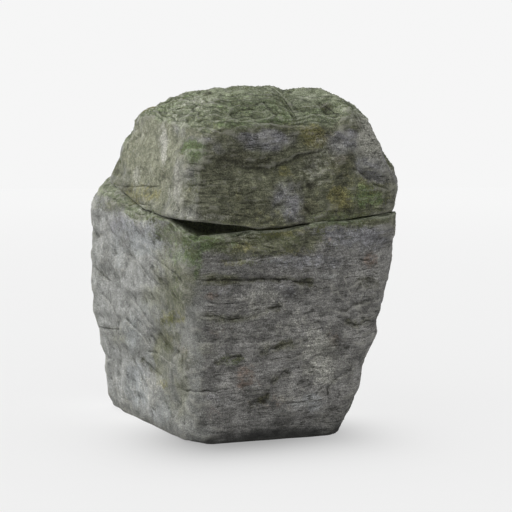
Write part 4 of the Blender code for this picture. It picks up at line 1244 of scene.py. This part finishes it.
def tufts(name, weight, count, long, seed, leaves=6):
    """count tufts on the stone, where weight (one value for each point) is high; long is a leaf in metres."""
    rng = np.random.default_rng(seed)
    w = np.clip(weight, 0, None)[tri].mean(1) * area
    if w.sum() <= 0:
        return None
    pick = rng.choice(len(tri), count, p=w / w.sum())
    u, v = rng.random(count), rng.random(count)
    over = u + v > 1
    u[over], v[over] = 1 - u[over], 1 - v[over]
    at = A[pick] + u[:, None] * (B - A)[pick] + v[:, None] * (C - A)[pick]
    up = no[tri[pick]].mean(1)
    up /= np.linalg.norm(up, axis=1, keepdims=True)
    strong = weight[tri[pick]].mean(1)
    spin = rng.random(count) * 2 * math.pi
    side = np.cross(up, [0.2, .1, 1.0])
    side /= np.linalg.norm(side, axis=1, keepdims=True) + 1e-9
    other = np.cross(up, side)
    size = long * (.55 + .75 * rng.random(count)) * (.6 + .4 * np.clip(strong, 0, 1))
    verts, shade = [], []
    for k in range(leaves):
        a = spin + k * 2.399963 + rng.random(count) * .5
        lean = .35 + .95 * rng.random(count)
        out = side * np.cos(a)[:, None] + other * np.sin(a)[:, None]
        along = up * np.cos(lean)[:, None] + out * np.sin(lean)[:, None]
        along[:, 2] += .12
        along /= np.linalg.norm(along, axis=1, keepdims=True)
        across = np.cross(along, up)
        across /= np.linalg.norm(across, axis=1, keepdims=True) + 1e-9
        foot = at + out * (size * .15)[:, None] - up * (size * .12)[:, None]
        reach_ = size * (.7 + .5 * rng.random(count))
        wide = size * .22
        mid = foot + along * (reach_ * .5)[:, None]
        bend = up * (reach_ * -.16)[:, None]
        verts.append(np.stack([foot, mid - across * wide[:, None], mid + across * wide[:, None],
                               foot + along * reach_[:, None] + bend], 1))
        shade.append(np.stack([0 * size, .55 + 0 * size, .55 + 0 * size, 1 + 0 * size], 1))
    verts = np.stack(verts, 1).reshape(-1, 3)
    shade = np.stack(shade, 1).reshape(-1)
    number = count * leaves
    start = np.arange(number)[:, None] * 4
    t = np.concatenate([start + np.array([[0, 2, 1]]), start + np.array([[1, 2, 3]])], 1).reshape(-1, 3)
    verts[:, 2] = np.maximum(verts[:, 2], .0005)
    m = to_mesh(name, verts, t)
    put(m, "shade", shade)
    gold_here = np.clip(masks["yellow"][tri[pick]].mean(1) + .25 * rng.random(count), 0, 1)
    put(m, "gold", np.repeat(gold_here, leaves * 4) * .8)
    for f in m.polygons:
        f.use_smooth = True
    m.materials.append(leaf_green)
    o = bpy.data.objects.new(name, m)
    bpy.context.scene.collection.objects.link(o)
    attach(o, "root")
    return o


share = 1.0
patchy = ramp(noise(world / .045, 95) + .5 * noise(world / .018, 96), -.6, .5)
on_top = ramp(lie[:, 2], .30, .70) * (.25 + .75 * patchy) * above * (1 - .7 * masks["pale"])
in_band = band * (1 - top) * ramp(noise(world / .05, 97), -.3, .5) * ramp(lie[:, 2], -.5, .0)
in_lush = (masks["green"] + .5 * masks["yellow"]) * (.3 + .7 * patchy)
tufts("moss_top", on_top, int(6500 * share), .0032, 201)
tufts("moss_band", in_band + .4 * np.clip(cavity, 0, 1) * band, int(6000 * share), .0034, 202)
tufts("moss_patches", in_lush * (1 - .5 * top), int(10000 * share), .0034, 203)

# ------------------------------------------------------------------ studio
turn = math.radians(AZIMUTH)
corners = []
for across, ahead in ((-34, -24), (34, -24), (34, 19.5), (-34, 15.6)):
    corners.append((across * math.cos(turn) - ahead * math.sin(turn), across * math.sin(turn) + ahead * math.cos(turn)))
# rings round the foot, so that the paper's painted contact shadow knows how near the stone it is
SPOKES, AWAY = 96, (0, .02, .04, .07, .10, .14, .18, .23, .28, .34, .42, .60, 1.2, 3.0)
low = points[(points[:, 2] < .03)][:, :2] - MIDDLE[:2]
spoke = np.arange(SPOKES) * 2 * math.pi / SPOKES
aim = np.stack([np.cos(spoke), np.sin(spoke)], -1)
edge_at = np.array([(low @ a)[np.abs(low @ np.array([-a[1], a[0]])) < .02].max() for a in aim])
edge_at = (np.roll(edge_at, 1) + edge_at * 2 + np.roll(edge_at, -1)) / 4
rings = [aim * .05] + [aim * (edge_at + d)[:, None] for d in AWAY]
outer = []
for a in aim:
    best = 1e9
    for c in range(4):
        (x0, y0), (x1, y1) = corners[c], corners[(c + 1) % 4]
        det = a[0] * (y0 - y1) - a[1] * (x0 - x1)
        if abs(det) > 1e-9:
            t = (x0 * (y0 - y1) - y0 * (x0 - x1)) / det
            u = (a[0] * y0 - a[1] * x0) / det
            if t > 0 and -1e-6 <= u <= 1 + 1e-6:
                best = min(best, t)
    outer.append(a * best)
rings.append(np.array(outer))
flat_xy = np.concatenate(rings)
verts = np.concatenate([flat_xy, np.zeros((len(flat_xy), 1))], 1)
k, i = np.meshgrid(np.arange(len(rings) - 1), np.arange(SPOKES), indexing="ij")
j = (i + 1) % SPOKES
sheet_faces = np.stack([k * SPOKES + i, (k + 1) * SPOKES + i, (k + 1) * SPOKES + j, k * SPOKES + j], -1).reshape(-1, 4)
paper_mesh = bpy.data.meshes.new("floor")
paper_mesh.from_pydata(verts.tolist(), [], sheet_faces.tolist() + [list(range(SPOKES))])
toward = np.clip(aim @ np.array([-.245, -.969]), .0, 1.0) ** 1.4       # the side turned to the viewer
# painted contact shadow: the paper's glow is dimmed close to the foot, most on the side turned to the viewer
fade = np.exp(-(np.array([0] + list(AWAY) + [9.0]) / .15) ** 1.4)
put(paper_mesh, "glow_less_painted_shadow", (.99 - fade[:, None] * (.03 - .10 + .66 * toward[None, :])).reshape(-1))
floor = bpy.data.objects.new("floor", paper_mesh)
bpy.context.scene.collection.objects.link(floor)
paper = bpy.data.materials.new("paper")
paper.use_nodes = True
paper_shader = paper.node_tree.nodes["Principled BSDF"]
paper_shader.inputs["Base Color"].default_value = (.24, .24, .24, 1)
paper_shader.inputs["Roughness"].default_value = .95
paper_shader.inputs["Specular IOR Level"].default_value = .0
paper_shader.inputs["Emission Color"].default_value = (1, 1, 1, 1)


def fade_of(socket, *values):
    n = paper.node_tree.nodes.new("ShaderNodeMapRange")
    n.interpolation_type = "SMOOTHSTEP"
    paper.node_tree.links.new(socket, n.inputs["Value"])
    for name, value in zip(("From Min", "From Max", "To Min", "To Max"), values):
        n.inputs[name].default_value = value
    return n.outputs[0]


far = paper.node_tree.nodes.new("ShaderNodeVectorMath")      # the paper brightens a little toward the backdrop
far.operation = "LENGTH"
spot = paper.node_tree.nodes.new("ShaderNodeTexCoord")
paper.node_tree.links.new(spot.outputs["Object"], far.inputs[0])
# painted contact shadow: this attribute dims the paper's glow near the foot
near = paper.node_tree.nodes.new("ShaderNodeAttribute")      # and dims close to the foot
near.attribute_name = "glow_less_painted_shadow"
total = paper.node_tree.nodes.new("ShaderNodeMath")
total.operation = "MULTIPLY"
paper.node_tree.links.new(fade_of(far.outputs["Value"], 1.0, 14.0, .700, .742), total.inputs[0])
paper.node_tree.links.new(near.outputs["Fac"], total.inputs[1])
paper.node_tree.links.new(total.outputs[0], paper_shader.inputs["Emission Strength"])
floor.data.materials.append(paper)
floor.visible_diffuse = False      # the stone is lit by the lamps and the walls, not by the glow of the paper

# the studio's walls: white where the camera looks, brighter panels above that, a dim ceiling and a dim ground
world_light = bpy.data.worlds.new("studio")
bpy.context.scene.world = world_light
world_light.use_nodes = True
tree = world_light.node_tree
where = tree.nodes.new("ShaderNodeTexCoord")
split = tree.nodes.new("ShaderNodeSeparateXYZ")
half = tree.nodes.new("ShaderNodeMath")
half.operation = "MULTIPLY_ADD"
half.inputs[1].default_value, half.inputs[2].default_value = .5, .5
fade = tree.nodes.new("ShaderNodeValToRGB")
tree.links.new(where.outputs["Generated"], split.inputs[0])
tree.links.new(split.outputs["Z"], half.inputs[0])
tree.links.new(half.outputs[0], fade.inputs["Fac"])
stops = [(-1, .20), (-.30, .20), (-.08, .92), (.14, .92), (.26, 1.16), (.50, 1.16), (.72, .62), (1, .55)]
while len(fade.color_ramp.elements) < len(stops):
    fade.color_ramp.elements.new(.5)
for e, (z, v) in zip(fade.color_ramp.elements, stops):
    e.position = (z + 1) / 2
for e, (z, v) in zip(fade.color_ramp.elements, stops):
    e.color = (v / 1.2, v / 1.2, v / 1.2, 1)
tree.links.new(fade.outputs["Color"], tree.nodes["Background"].inputs["Color"])
tree.nodes["Background"].inputs["Strength"].default_value = 1.2


def lamp(name, from_azimuth, elevation, strength, angle):
    """A far, broad light: its direction in degrees, and how wide it looks from the stone."""
    data = bpy.data.lights.new(name, "SUN")
    data.energy = strength
    data.angle = math.radians(angle)
    o = bpy.data.objects.new(name, data)
    bpy.context.scene.collection.objects.link(o)
    o.rotation_euler = (math.radians(90 - elevation), 0, math.radians(from_azimuth + 90))
    return o


key = lamp("key", 153, 42, 3.75, 70)
lit = bpy.data.collections.new("lit")
for o in bpy.context.scene.objects:
    if o.type == "MESH" and o is not floor:
        lit.objects.link(o)
key.light_linking.receiver_collection = lit

lens = bpy.data.cameras.new("camera")
lens.lens, lens.sensor_width = LENS, 36
eye = bpy.data.objects.new("camera", lens)
bpy.context.scene.collection.objects.link(eye)
eye.location = EYE - MIDDLE
eye.rotation_euler = (math.radians(90 + PITCH), 0, math.radians(AZIMUTH))
bpy.context.scene.camera = eye
bpy.context.scene.view_settings.view_transform = "Standard"
bpy.context.scene.view_settings.look = "None"
